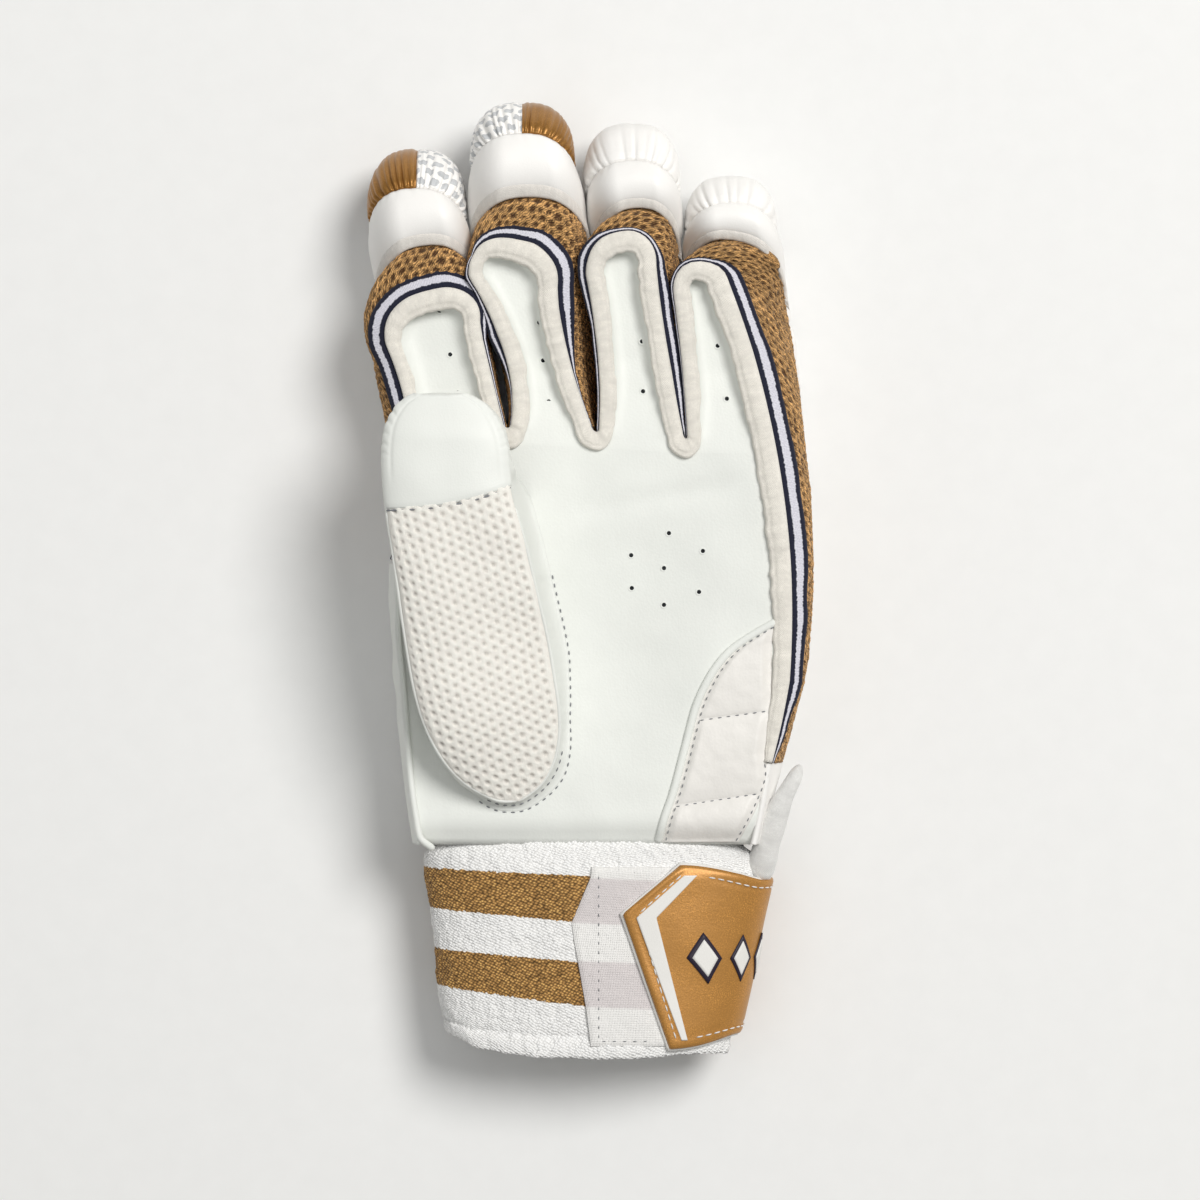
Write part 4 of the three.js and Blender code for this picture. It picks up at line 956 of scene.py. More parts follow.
def palm_relief(x, y):
    """Small heights on the palm: a roll down into the wrist seam, a valley left of the thumb, soft dents."""
    wrist = -2.7 * bell(np.maximum(y, 0), 3.6) + 0.35 * bell(y - 7, 3.5)
    edge = hand_edge("front", -1, y)
    valley = -2.2 * bell(x - edge - 6.5, 4.2) * smooth(y, 14, 34) * (1 - smooth(y, 70, 84))
    soft = 0.28 * bumps(x, y, 17, 3) + 0.1 * bumps(x, y, 6, 4)
    lines = bumps(1.3 * (x - edge), y / 9, 1.0, 5) * bell(x - edge - 5, 4) * (1 - smooth(y, 60, 84))
    fold = -0.5 * bell(y - 96 - 0.16 * x, 3.0) * smooth(x, -8, 14) * (1 - smooth(x, 36, 52))
    return wrist + valley + soft + 0.14 * lines + fold


def patch_start(wide):
    """Where the thumb's leather tip begins, as a share of the thumb: higher on the palm side."""
    return 0.722 + 0.055 * wide**2.2


def lane_side(lane, side, kind, low, gap, palm_rows, finger_rows):
    """One side of a lane of the hand: its points from the wrist up to a gap below the valley, those from the
    valley up to the finger's shoulder, and the heights of the second ones before the finger's tilt."""
    ring = OUTLINES[lane][kind]
    k = lane + (side > 0)
    valley = valley_y({0: 1, 4: 3}.get(k, k))
    y = lerp(low, valley - gap, steps(palm_rows))
    if k in (0, 4):
        x = hand_edge(kind, side, y)
    else:
        x = lerp(across(LANES[k]), valley_x(k), np.maximum(0, y) / valley)
    palm = np.stack([np.broadcast_to(x, y.shape), y], axis=-1)
    y = lerp(valley, ring.shoulder, steps(finger_rows))
    return palm, ring.side_point(side, (ring.shoulder - y) / (ring.shoulder - ring.valley(side))), y


def trough(rise, share):
    """Depth of the hollow down a finger's front, at a share of the way across."""
    return 3.4 * rise * (1 - np.abs(2 * share - 1) ** 5)


PALM_ROWS, FRONT_ROWS, TIP_ROWS = 60, 36, 13


def palm_piece():
    """The palm hide: four lanes that part at the finger valleys. Each row runs straight across its lane. The
    height is the palm's own, less a trough down the middle of each finger."""
    bodies = []
    for lane in range(4):
        ring = OUTLINES[lane]["front"]
        sides = []
        for side in (-1, 1):
            palm, up, y = lane_side(lane, side, "front", 0.0, 0.3, PALM_ROWS, FRONT_ROWS)
            k = lane + (side > 0)
            if k not in (0, 4):
                up[:, 0] = lerp(border_x(k, y), up[:, 0], smooth(y - y[0], -0.1, 4.5))
            end = ring.arch(side * END_SHARE * np.linspace(1, 0.002, TIP_ROWS + 1)[1:])
            sides.append(np.concatenate([palm, up, end]))
        share = eased(25)
        flat = lerp(sides[0][:, None], sides[1][:, None], share[None, :, None])
        rise = [np.zeros(PALM_ROWS), np.clip(np.linspace(0, 2, FRONT_ROWS), 0, 1), np.ones(TIP_ROWS)]
        x, y = flat[..., 0], flat[..., 1]
        deep = trough(np.concatenate(rise)[:, None], share[None])
        grid = xyz(x, y, palm_height(x, y) - deep + palm_relief(x, y))
        rows, columns = grid.shape[:2]
        bodies.append((grid.reshape(-1, 3), quads(cells(rows - 1, columns - 1), columns)))
    points, faces = joined(bodies)[:2]
    first, back = np.unique(np.round(points, 2), axis=0, return_index=True, return_inverse=True)[1:]
    faces = np.ravel(back)[faces]
    points = points[first]
    palm = mesh_of("palm_hide", points, faces, "palm_hide", points[faces][..., :2])
    wall = palm.modifiers.new("hide", "SOLIDIFY")
    wall.thickness, wall.offset = 0.0013, -1
    finish_piece(palm, "palm_leather", "palm_leather")


PUNCHED = [(16, 144), (16.3, 129.7), (37.7, 142.8), (40.3, 127.6), (-13.4, 149.4), (-12.3, 138.6),
           (-10.7, 126.8), (-38.9, 140.3), (-36.6, 129.4), (-41.9, 152.8), (23.7, 89.1), (33.4, 84.0),
           (32.3, 72.3), (22.3, 68.6), (13.1, 73.4), (12.9, 82.8), (22.3, 79.1)]


def hide_height(x, y):
    """The palm's surface with the troughs down the finger fronts, at single points."""
    z = palm_height(x, y) + palm_relief(x, y)
    for outlines in OUTLINES:
        ring = outlines["front"]
        left, right = ring.side_x(-1, y), ring.side_x(1, y)
        valley = along(0.535)
        inside = (x > left) & (x < right) & (y > valley)
        rise = np.clip(2 * (y - valley) / (ring.shoulder - valley), 0, 1)
        z = z - np.where(inside, trough(rise, (x - left) / (right - left)), 0)
    return z


# Radii and heights of the rings of a punched hole's rim, and of the dark cup inside it, which is painted
# shade in the hole
HOLE_RIM = ((1.15, 0.95, 0.8, 0.68, 0.6), (-0.02, 0.1, 0.13, 0.07, 0.04))


HOLE_CUP = ((0.62, 0.4092, 0.2046, 0.000062), (0.05, 0.05, 0.05, 0.05))


def punched_holes():
    """Punched holes: each is a low rim that rounds over into a dark cup, turned about its centre. The dark
    cup is painted shade down in the hole.
    """
    x, y = np.array(PUNCHED, float).T
    centre = xyz(x, y, hide_height(x, y))
    sides = 12
    turn = TAU * np.arange(sides) / sides
    for name, profile, material in (("hole_rims", HOLE_RIM, "palm_hide"),
                                    ("hole_cups", HOLE_CUP, "dark_hole")):
        radius, height = np.array(profile)[..., None]
        ring = xyz(radius * np.cos(turn), radius * np.sin(turn), height)
        points = (centre[:, None, None] + ring[None]).reshape(-1, 3)
        faces = copies(quads(cells(len(radius) - 1, sides), sides), len(centre), len(radius) * sides)
        finish_piece(mesh_of(name, points, faces, material), "palm_leather")


# Fingers


def knit_wall(i):
    """A finger's knit wall: from under the tape it rounds out and down to the padding, and on under the
    hood's lip. Rounded holes on an uneven honeycomb are sunk into it."""
    name = FINGERS[i]["name"]
    t = arch_steps(i, "foot", 310)
    rim = Rim(i, t)
    start = rim.tape_edge - rim.out * np.minimum(rim.tape, 1.0)[:, None] - [0, 0, 0.5]
    q = np.concatenate([steps(26), [1.1, 1.22]])
    end = (1 - smooth(np.abs(t), 0.16, 0.28))[:, None]
    reach = np.where(q > 1, lerp(1.0, q, end), q)
    p = lerp(start[:, None], rim.foot[:, None], reach[..., None])
    round_out = hump(np.clip(q, 0, 1))
    p = p + rim.out[:, None] * (rim.bulge[:, None] * round_out)[..., None]
    p[..., 2] += 1.3 * round_out + np.where(q > 1, -0.6 * end, 0) - crotch_drop(i, t)[:, None]
    uv = cloth_uv(p)
    u = uv[..., 0] + 0.5 * bumps_on(uv, 2.9, 11 + i) + 0.25 * bumps_on(uv, 0.9, 12 + i)
    v = uv[..., 1] * 1.12 + 0.5 * bumps_on(uv, 2.8, 15 + i)
    hole = hexes(u, v, 1000 * sizes().knit_pitch) + 0.1 * bumps_on(uv, 2.2, 18 + i)
    relief = np.clip(smooth(hole, 0.06, 0.46) * (0.84 + 0.2 * bumps_on(uv, 0.8, 21 + i)), 0, 1)
    height = 0.2 + 0.85 * relief + 0.35 * bumps_on(uv, 6, 25 + i) * round_out
    # The relief mark also sets the knit's colour: painted shade in the holes, painted highlights on the
    # strands.
    piece = sheet(f"{name}_knit", p, finger_core(i), 0.25, "finger_knit", height=height,
                  uv=uv, mark={"relief": relief})
    finish_piece(piece, "bronze_mesh", f"{name}_mesh_wall")
    declared(p)


def tape_band(i):
    """A finger's striped tape: a band from under the binding outwards, thinner at its edges."""
    name = FINGERS[i]["name"]
    t = arch_steps(i, "front", 260)
    rim = Rim(i, t)
    s = steps(9)
    width = rim.tape + 0.5
    sway = 0.25 * bumps(run(rim.tape_edge), 0 * t, 7, 31 + i)
    start = rim.binding_edge - rim.out * 0.5
    p = lerp(start[:, None], (rim.tape_edge + rim.out * sway[:, None])[:, None], s[None, :, None])
    p[..., 2] -= crotch_drop(i, t)[:, None]
    uv = cloth_uv(p)
    place = s[None] * width[:, None] - 0.4
    edge = np.minimum(place, rim.tape[:, None] - place) / np.minimum(1.35, 0.33 * rim.tape)[:, None]
    crown = 0.55 + 0.45 * (1 - np.abs(2 * s - 1) ** 5)[None] + 0.14 * bumps_on(uv, 4, 41 + i)
    piece = sheet(f"{name}_tape", p, finger_core(i), 0.5, "finger_tape", height=crown, uv=uv,
                  mark={"edge": np.clip(edge, -1, 4)})
    finish_piece(piece, "striped_tape", f"{name}_striped_tape")


def binding_edges():
    """The inner and outer edge of the cotton binding, along every finger and round the three crotches."""
    inner, outer = [], []
    for i in range(4):
        ring = OUTLINES[i]["front"]
        low = ring.share_at(-1, ring.valley(-1) + 5.0) if i else -1.0
        high = ring.share_at(1, ring.valley(1) + 5.0) if i < 3 else 1.0
        rim = Rim(i, arch_steps(i, "front", 170, low, high))
        inner.append(rim.edge - rim.out * 0.5 + [0, 0, 0.05])
        outer.append(rim.binding_edge + rim.out * 0.15 + [0, 0, 0.75])
    w = np.linspace(0, math.pi, 34)[1:-1]
    turn = 0.5 - 0.5 * np.cos(w)
    for i in range(3):
        middle = valley_x(i + 1)
        left, right = inner[2 * i][-1], inner[2 * i + 1][0]
        x = middle - np.where(np.cos(w) > 0, middle - left[0], right[0] - middle) * np.cos(w)
        y = lerp(left[1], right[1], turn) - 6.3 * np.sin(w)
        b = lerp(outer[2 * i][-1], outer[2 * i + 1][0], turn[:, None])
        b = b - np.array([0, 1.3, 0]) * np.sin(w)[:, None]
        inner.insert(2 * i + 1, xyz(x, y, palm_height(x, y) + 0.2))
        outer.insert(2 * i + 1, b)
    return np.concatenate(inner), np.concatenate(outer)


def binding_piece():
    """The rolled cotton binding: at each place along the front's edge a half ellipse stands on the line from
    its inner to its outer edge, with a stitched groove near its wavy inner edge."""
    inner, outer = binding_edges()
    way = outer - inner
    wide = np.linalg.norm(way, axis=1, keepdims=True)
    way = way / wide
    length = run((inner + outer) / 2)
    ragged = 0.25 * bumps(length, 0 * length, 1.6, 51) + 0.4 * bumps(length, 0 * length, 6, 52)
    inner = inner - way * ragged[:, None]
    ahead = np.gradient((inner + outer) / 2, axis=0)
    up = np.cross(way, ahead)
    up /= np.linalg.norm(up, axis=1, keepdims=True) + 1e-9
    up *= np.where(up[:, 2:3] < 0, -1, 1)
    turn = np.linspace(0, math.pi, 17)
    middle, half = (inner + outer) / 2, np.linalg.norm(outer - inner, axis=1, keepdims=True) / 2
    tall = np.clip(0.7 * half, 1.5, 2.3) + 0.25 * bumps(length, 0 * length, 5, 53)[:, None]
    flat = -np.cos(turn)[None, :, None] * way[:, None] * half[:, None]
    place = (1 - np.cos(turn)) / 2
    groove = 0.42 * bell(place - 0.24, 0.05)
    rise = (np.sin(turn) ** 0.62 - groove * 0.5)[None, :, None] * up[:, None] * tall[:, None]
    p = middle[:, None] + flat + rise
    uv = cloth_uv(p)
    crease = 0.2 * bumps(uv[..., 0], uv[..., 1] * 0.35, 2.0, 54) + 0.12 * bumps_on(uv, 0.9, 55)
    p = p + up[:, None] * (crease * np.sin(turn)[None])[..., None]
    under = middle[:, None] + flat * 0.94 - up[:, None] * 0.5
    piece = slab("finger_binding", p, under, "binding_cotton", uv=uv)
    finish_piece(piece, "cream_binding", *[f"{f['name']}_binding" for f in FINGERS])


def hood_surface(i, t, r):
    """The foam hood over a fingertip, swollen between lip (r = 0), seam (1), end (2) and underside (3)."""
    rings = OUTLINES[i]
    t, r = np.broadcast_arrays(np.asarray(t, float), r)
    shoulder = rings["outer"].shoulder
    mid = (rings["outer"].side_x(-1, shoulder) + rings["outer"].side_x(1, shoulder)) / 2
    rise = 1 - smooth(np.abs(t), END_SHARE * 0.2, END_SHARE)
    lift = curl(shoulder)
    low = SHELL_TOP + SEAM * 3
    high = lerp(low, PALM_TOP, 0.8) + KNIT
    flats = [rings[kind].arch(t) for kind in ("lip", "band", "outer", "outer")]
    flats[2][..., 1] += 1.9 * rise
    heights = [lerp(low, high, rise) + lift, lerp(low, high - 1, rise**0.6) + lift,
               SHELL_TOP * 0.8 + lift + 0 * t, lift + 2 + 3 * (1 - rise)]
    stops = [np.concatenate([flat, z[..., None]], axis=-1) for flat, z in zip(flats, heights)]
    stops[3][..., 0] = mid + (stops[3][..., 0] - mid) * 0.8
    stops[3][..., 1] = shoulder + (stops[3][..., 1] - shoulder) * 0.06 + 5 * (1 - rise)
    k = np.clip(np.floor(r), 0, 2)
    f = r - k
    p = np.zeros(t.shape + (3,))
    for n in range(3):
        p = np.where((k == n)[..., None], lerp(stops[n], stops[n + 1], f[..., None]), p)
    swell = np.where(k == 0, 2.2, np.where(k == 1, 3.2, 3.4)) * hump(f) * rise
    away = p - np.array([mid, shoulder, SHELL_TOP + lift])
    away /= np.linalg.norm(away, axis=-1, keepdims=True)
    return p + away * swell[..., None]


def hood_core(i):
    outer = OUTLINES[i]["outer"]
    mid = (outer.side_x(-1, outer.shoulder) + outer.side_x(1, outer.shoulder)) / 2
    return np.array([mid, outer.shoulder, SHELL_TOP + 2 + curl(outer.shoulder)])


def hood_slab(name, p, core, material, uv=None):
    away = np.linalg.norm(p - core, axis=-1, keepdims=True)
    inner = lerp(p, core, np.minimum(CAP_WALL / away, 0.6))
    return slab(name, p, inner, material, uv=uv)


def end_band(i):
    """The smooth padded band over a fingertip: the hood's first part, pulled in at its two long seams."""
    name = FINGERS[i]["name"]
    t = arch_steps(i, "band", 80, -END_SHARE * 0.97, END_SHARE * 0.97)
    r = np.linspace(0.1, 0.985, 20)
    p = hood_surface(i, t[:, None], r[None])
    core = hood_core(i)
    s = (r - r[0]) / (r[-1] - r[0])
    uv = cloth_uv(p)
    full = 1.3 * hump(s) ** 0.6 - 0.75
    dents = 0.16 * bumps_on(uv, 6, 61 + i) * hump(s)
    tuck = 0.3 * creases(uv[..., 0], 4.2, 63 + i) * bell(s - 0.97, 0.16)[None]
    p = lifted(p, core, full[None] + dents - tuck)
    piece = hood_slab(f"{name}_end_band", p, core, "pad_leather")
    finish_piece(piece, "padded_leather", f"{name}_end_roll")
    t = arch_steps(i, "lip", 80, -END_SHARE * 1.02, END_SHARE * 1.02)
    r = np.linspace(-0.1, 0.16, 9)
    rings = hood_surface(i, t[:, None], np.clip(r, 0, 1)[None])
    rings = rings + (rings[:, -1:] - rings[:, 3:4]) * np.minimum(r, 0)[None, :, None] * 6
    s = steps(9)
    fuzz = 0.06 * bumps(run(rings), 0 * rings[..., 0], 1.1, 65 + i)
    p = lifted(rings, core, (0.55 * hump(s) ** 0.5 - 0.5)[None] + fuzz)
    lining = hood_slab(f"{name}_lining", p, core, "lining_cloth")
    finish_piece(lining, "lining")


def creases(u, pitch, seed):
    """Narrow folds across a line: 1 in a fold's middle, 0 between, at uneven places and of uneven depth."""
    place = u / pitch + 0.55 * bumps(u, 0 * u, pitch * 1.7, seed)
    cell = np.floor(place)
    depth = 0.25 + 0.75 * np.abs(bumps(cell + 0.5, 0 * cell, 0.37, seed + 1))
    return depth * bell(place - cell - 0.5, 0.2)


# Where each cap changes from one leather to the next, as a share of the way round from left to right
CAP_SPLITS = {"index": 0.5, "middle": 0.5}
CAP_LEATHERS = {"index": ("bronze_leather", "checked_leather"),
                "middle": ("checked_leather", "bronze_leather")}


def tip_cap(i):
    """A gathered fingertip cap: the hood's last part with radial folds that fade away from its seam. A cap
    of two leathers is cut along a line from the seam to the end."""
    name = FINGERS[i]["name"]
    core = hood_core(i)
    ends = [-0.97, 0.97]
    if name in CAP_SPLITS:
        ends.insert(1, 2 * CAP_SPLITS[name] - 1)
    pieces = list(zip(ends[:-1], ends[1:]))
    for k, (low, high) in enumerate(pieces):
        t = arch_steps(i, "outer", 160 // len(pieces), END_SHARE * low, END_SHARE * high)
        r = 1.03 + 1.97 * steps(36) ** 1.25
        p = hood_surface(i, t[:, None], r[None])
        uv = cloth_uv(p)
        depth = 1000 * sizes().puckers
        gathered = name in CAP_LEATHERS
        fade = bell(r - 1.03, 0.55 if gathered else 0.4) + 0.1
        fold = creases(uv[..., 0], 2.0 if gathered else 3.4, 71 + 3 * i + k)
        ridge = 0.5 * bumps(uv[..., 0], 0.15 * uv[..., 1], 1.3, 77 + i)
        folded, ridged = (2.3, 0.6) if gathered else (1.3, 0.2)
        height = -depth * (folded * fold + ridged * ridge) * fade[None]
        height = height - 0.8 * bell(r - 1.03, 0.07)[None]
        sides = np.minimum(run(p[:, 5]), run(p[:, 5])[-1] - run(p[:, 5]))[:, None]
        if len(pieces) > 1:
            height = height - 0.5 * bell(sides, 0.7)
        p = lifted(p, core, height + 0.12 * bumps_on(uv, 4, 75 + i))
        leather_name = CAP_LEATHERS[name][k] if name in CAP_LEATHERS else "pad_leather"
        label = f"{name}_cap" if len(pieces) == 1 else f"{name}_cap_{'left' if k == 0 else 'right'}"
        piece = hood_slab(label, p, core, leather_name)
        slot = "bronze_leather" if leather_name == "bronze_leather" else "padded_leather"
        finish_piece(piece, slot, f"{name}_tip_cap")


# Thumb

THUMB_BASE, THUMB_TIP = 0.058, 0.605
THUMB_TABLE = np.array([
    [0, -0.34, 0.03, 0.12, 0.12],
    [0.05, -0.36, 0.17, 0.3, 0.16],
    [0.13, -0.385, 0.265, 0.55, 0.22],
    [0.25, -0.415, 0.32, 0.72, 0.3],
    [0.4, -0.455, 0.33, 0.85, 0.45],
    [0.6, -0.53, 0.305, 1, 0.8],
    [0.76, -0.6, 0.275, 1, 1],
    [0.9, -0.62, 0.255, 1, 1],
    [0.965, -0.63, 0.19, 1, 1],
    [1, -0.635, 0.09, 1, 1],
])
THUMB_FREE = 0.587


def thumb_y(share):
    return lerp(along(THUMB_BASE), along(THUMB_TIP), share)


def thumb_section(share):
    """The thumb's left, right and two edge heights at a share of its length: cubics through the table."""
    table = THUMB_TABLE
    last = len(table) - 1
    share = np.asarray(share, float)
    k = np.clip(np.searchsorted(table[:, 0], share, side="right"), 1, last)
    p, a = table[np.maximum(k - 2, 0)], table[k - 1]
    b, n = table[k], table[np.minimum(k + 1, last)]
    step = b[..., 0] - a[..., 0]
    f = np.clip((share - a[..., 0]) / step, 0, 1)[..., None]
    slope_a = (b - p) / np.maximum(b[..., :1] - p[..., :1], 1e-6) * step[..., None]
    slope_b = (n - a) / np.maximum(n[..., :1] - a[..., :1], 1e-6) * step[..., None]
    f2, f3 = f * f, f * f * f
    value = (2 * f3 - 3 * f2 + 1) * a + (f3 - 2 * f2 + f) * slope_a
    value = value + (3 * f2 - 2 * f3) * b + (f3 - f2) * slope_b
    mid, half = across(value[..., 1]), across(value[..., 2])
    edges = lerp(PALM_TOP + 1.4, THUMB_EDGE, np.clip(value[..., 3:], 0, 1))
    return mid - half, mid + half, edges[..., 0], edges[..., 1]


def thumb_front(share, wide):
    """The thumb's front: between its two edge heights, crowned by a rounded profile."""
    left, right, low, high = thumb_section(share)
    rounded = np.sqrt(np.maximum(0, 1 - np.abs(2 * wide - 1) ** 2.6))
    fade = np.minimum(smooth(share, -0.02, 0.3), 0.35 + 0.65 * smooth(1 - share, 0, 0.12))
    z = lerp(low, high, wide * wide * (3 - 2 * wide)) + 4 * rounded * fade
    return xyz(lerp(left, right, wide), thumb_y(share), z)


def mesh_right(share):
    """How far across the spacer cloth reaches; past it the leather ramps down to the palm."""
    return 0.93 + 0.07 * smooth(share, 0.45, 0.85) + 0.05 * (1 - smooth(share, 0.1, 0.35))


def thumb_mesh():
    """Spacer cloth on the thumb's front, with rounded dimples on a slanting honeycomb."""
    wide = 0.45 * (eased(96)) + 0.55 * steps(96)
    step = steps(200)[:, None]
    share = lerp(0.004, patch_start(wide)[None], lerp(step, 1 - np.cos(step * math.pi / 2), 0.35))
    p = thumb_front(share, wide[None] * mesh_right(share))
    along_it = p[..., 1] - 0.26 * (p[..., 0] + 30)
    across_it = run(p, axis=1)
    across_it = across_it - across_it[:, 48:49] + 0.26 * (p[..., 1] - 60)
    uv = np.stack([across_it, along_it], axis=-1)
    pitch = 1000 * sizes().dimple_pitch
    u, v = uv[..., 0] + 0.25 * bumps_on(p, 6, 81), uv[..., 1] + 0.25 * bumps_on(p, 6, 82)
    hole = hexes(0.966 * v + 0.2 * u, 0.966 * u - 0.2 * v, pitch)
    relief = smooth(hole, 0.06, 0.36) * (0.88 + 0.12 * bumps(u, v, 1.2, 83))
    edge = np.minimum(np.minimum(wide, 1 - wide)[None] * 42, run(p[:, 48])[:, None])
    calm = smooth(edge, 0.2, 1.6)
    height = 0.8 * lerp(0.6, relief, calm) - 0.2 + 0.25 * bumps_on(p, 9, 84)
    core = np.array([-30.0, 60.0, PALM_TOP])
    # The relief mark also sets the cloth's colour: painted shade in the dimples.
    piece = sheet("thumb_spacer", p, core, 1.4, "spacer_cloth", height=height, uv=uv,
                  mark={"relief": lerp(0.75, relief, calm)})
    finish_piece(piece, "spacer_mesh", "thumb_mesh_front")
    declared(p)


def thumb_tip():
    """The leather tip of the thumb: the front's last part, full in the middle, its rolled rim gathered."""
    wide = eased(80)
    step = 1 - (1 - steps(80)[:, None]) ** 1.5
    share = lerp(patch_start(wide)[None] - 0.004, 0.992, step)
    p = thumb_front(share, wide[None])
    left, right = thumb_section(share)[:2]
    from_side = np.minimum(wide, 1 - wide)[None] * (right - left)
    from_rim = np.minimum(from_side * 1.2, (1 - share) * 116 + 1.2)
    round_rim = smooth(share, 0.8, 0.9)
    angle = np.arctan2(p[..., 1] - 104, p[..., 0] + 39.7)
    gather = creases(angle * 15, 1.9, 86) * (1 - smooth(from_rim, 0.5, 3.0)) * round_rim
    groove = bell(from_rim - 2.7, 0.55) * smooth(share, 0.76, 0.84)
    hem = bell(run(p[:, 40]), 0.8)[:, None]
    height = 0.75 - 0.4 * gather - 0.22 * groove - 0.3 * hem + 0.16 * bumps_on(p, 8, 85)
    core = np.array([-38.0, 100.0, PALM_TOP])
    piece = sheet("thumb_tip", p, core, 1.4, "thumb_hide", height=height)
    finish_piece(piece, "palm_leather", "thumb_tip_patch")
    # A thin grey tube beside and just under the hem's edge, in the grey thread: partly seam, partly painted
    # shade.
    hem_line = spaced(lifted(p, core, height)[0, 3:-3], 80) + [0, -0.45, -0.25]
    dark = tube("thumb_tip_seam", hem_line, 0.28, "grey_thread", sides=6)
    finish_piece(dark, "palm_leather")


def closed_smooth(values, width):
    """A closed line of values averaged over a rounded window."""
    window = np.hanning(width + 2)[1:-1]
    window /= window.sum()
    half = width // 2
    padded = np.concatenate([values[-half:], values, values[:half]])
    return np.stack([np.convolve(padded[:, k], window, "valid") for k in range(values.shape[1])], axis=-1)


def thumb_outline(count):
    """The closed outline of the thumb's front: up its left side, round the tip, down the palm side and round
    the base. Gives even points, the way outwards, the share of the length and how far across."""
    s = eased(600)
    climb, turn = lerp(0.006, 0.99, s), steps(300)
    share = np.concatenate([climb, 0.99 + 0 * turn, climb[::-1], 0.006 + 0 * turn])
    wide = np.concatenate([0 * s, turn, 1 + 0 * s, 1 - turn])
    reach = wide * np.where(share < 0.8, mesh_right(share), 1.0)
    rows = np.c_[thumb_front(share, reach), share * 0.01, wide * 0.01]
    rows = spaced(np.concatenate([rows, rows[:1]]), count + 1)[:-1]
    rows[:, :3] = closed_smooth(rows[:, :3], 7)
    ahead = np.roll(rows, -1, axis=0)[:, :2] - np.roll(rows, 1, axis=0)[:, :2]
    out = closed_smooth(np.stack([-ahead[:, 1], ahead[:, 0]], axis=-1), 19)
    out /= np.linalg.norm(out, axis=1, keepdims=True)
    return rows[:, :3], out, rows[:, 3] * 100, closed_smooth(rows[:, 4:] * 100, 9)[:, 0]


def thumb_skirt():
    """Leather all round the thumb: on the palm side it ramps out from the cloth's edge and runs flat into
    the palm; round the free tip it turns under. Stitches run beside it."""
    top, out, share, wide = thumb_outline(300)
    top = top - [0, 0, 0.35]
    limit = lerp(THUMB_FREE, 0.8, wide)
    free = smooth(share, limit - 0.08, limit + 0.06)
    ramp = np.interp(share, (0.0, 0.08, 0.2, 0.35, 1.0), (3.4, 4.4, 2.8, 5.0, 5.2))
    plain = np.interp(share, (0.0, 0.04, 0.1, 1.0), (3.4, 2.2, 0.9, 0.8))
    spread = lerp(lerp(plain, ramp, smooth(wide, 0.3, 0.9)), 0.3, free)
    foot = top[:, :2] + out * spread[:, None]
    ground = hide_height(foot[:, 0], foot[:, 1]) + 0.1
    foot_z = lerp(np.minimum(ground, top[:, 2]), THUMB_SHELL - 0.6, free)
    s = steps(20)
    slope = smooth(spread, 1.5, 3.0)[:, None]
    fall = lerp(s[None] ** 1.1, (1 - (1 - s) ** 2.0)[None], slope)
    step = lerp(0.8 * hump(s)[None] + s[None] * 0.2, s[None] ** 1.2, slope)
    reach = spread[:, None] * step + 0.8 * hump(s)[None] * free[:, None]
    xy = top[:, None, :2] + out[:, None] * reach[..., None]
    z = lerp(top[:, 2][:, None], foot_z[:, None], fall)
    p = xyz(xy[..., 0], xy[..., 1], z)
    uv = cloth_uv(p, ring=True)
    dents = (0.2 * bumps_on(p, 6, 91) + 0.1 * bumps_on(p, 2.5, 92)) * hump(s)
    core = np.array([-32.0, 65.0, PALM_TOP + 4])
    piece = sheet("thumb_skirt", p, core, 0.45, "thumb_hide", ring=True, height=dents, uv=uv)
    finish_piece(piece, "palm_leather", "thumb_wall")
    line = top + [0, 0, 0.2]
    line[:, :2] += out * 0.25
    first = int(np.argmax((share > 0.72) & (wide < 0.5)))
    last = len(share) - 1 - int(np.argmax(((share > 0.72) & (wide > 0.5))[::-1]))
    order = np.r_[np.arange(last, len(share)), np.arange(0, first)]
    radius = 0.5 + 0.12 * (1 - smooth(wide[order], 0.2, 0.8))
    bead = tube("thumb_edge_roll", line[order], radius, "thumb_hide")
    finish_piece(bead, "palm_leather")
    low_side = order[(share[order] < 0.56) & ((wide[order] > 0.2) | (share[order] < 0.03))]
    outer = np.c_[foot[low_side] + out[low_side] * 0.35, 0 * low_side]
    outer[:, 2] = hide_height(outer[:, 0], outer[:, 1]) + 0.12
    near = order[(share[order] < 0.14) & ((wide[order] > 0.25) | (share[order] < 0.02))]
    inner = p[near, 9] + np.c_[out[near] * 0.3, 0.3 + 0 * near]
    pitch = 1000 * sizes().stitch_pitch
    sewn = stitches("thumb_stitches", [outer, inner], pitch, 1.25, 0.2, "grey_thread")
    finish_piece(sewn, "palm_leather")

HEEL_LEFT = np.array([[54.6, 64.0], [48.6, 60.6], [42.3, 56.4], [38.2, 52.2], [34.6, 46.6], [31.6, 40.0],
                      [29.9, 34.0], [26.9, 22.3], [24.6, 14.0], [22.3, 7.4], [20.6, 0.6]])

HEEL_RIGHT = np.array([[55.2, 64.6], [53.1, 57.7], [53.0, 38.6], [51.2, 26.6], [52.2, 19.6], [48.5, 10.0],
                       [43.6, 0.6]])

HEEL_ROWS = {"row": (0.0, 0.43, 0.8, 1.0), "left": (63.9, 35.5, 10.9, 0.7), "right": (64.4, 38.3, 14.7, 0.7)}


def heel_side(curve, y):
    return np.interp(-y, -curve[:, 1], curve[:, 0])


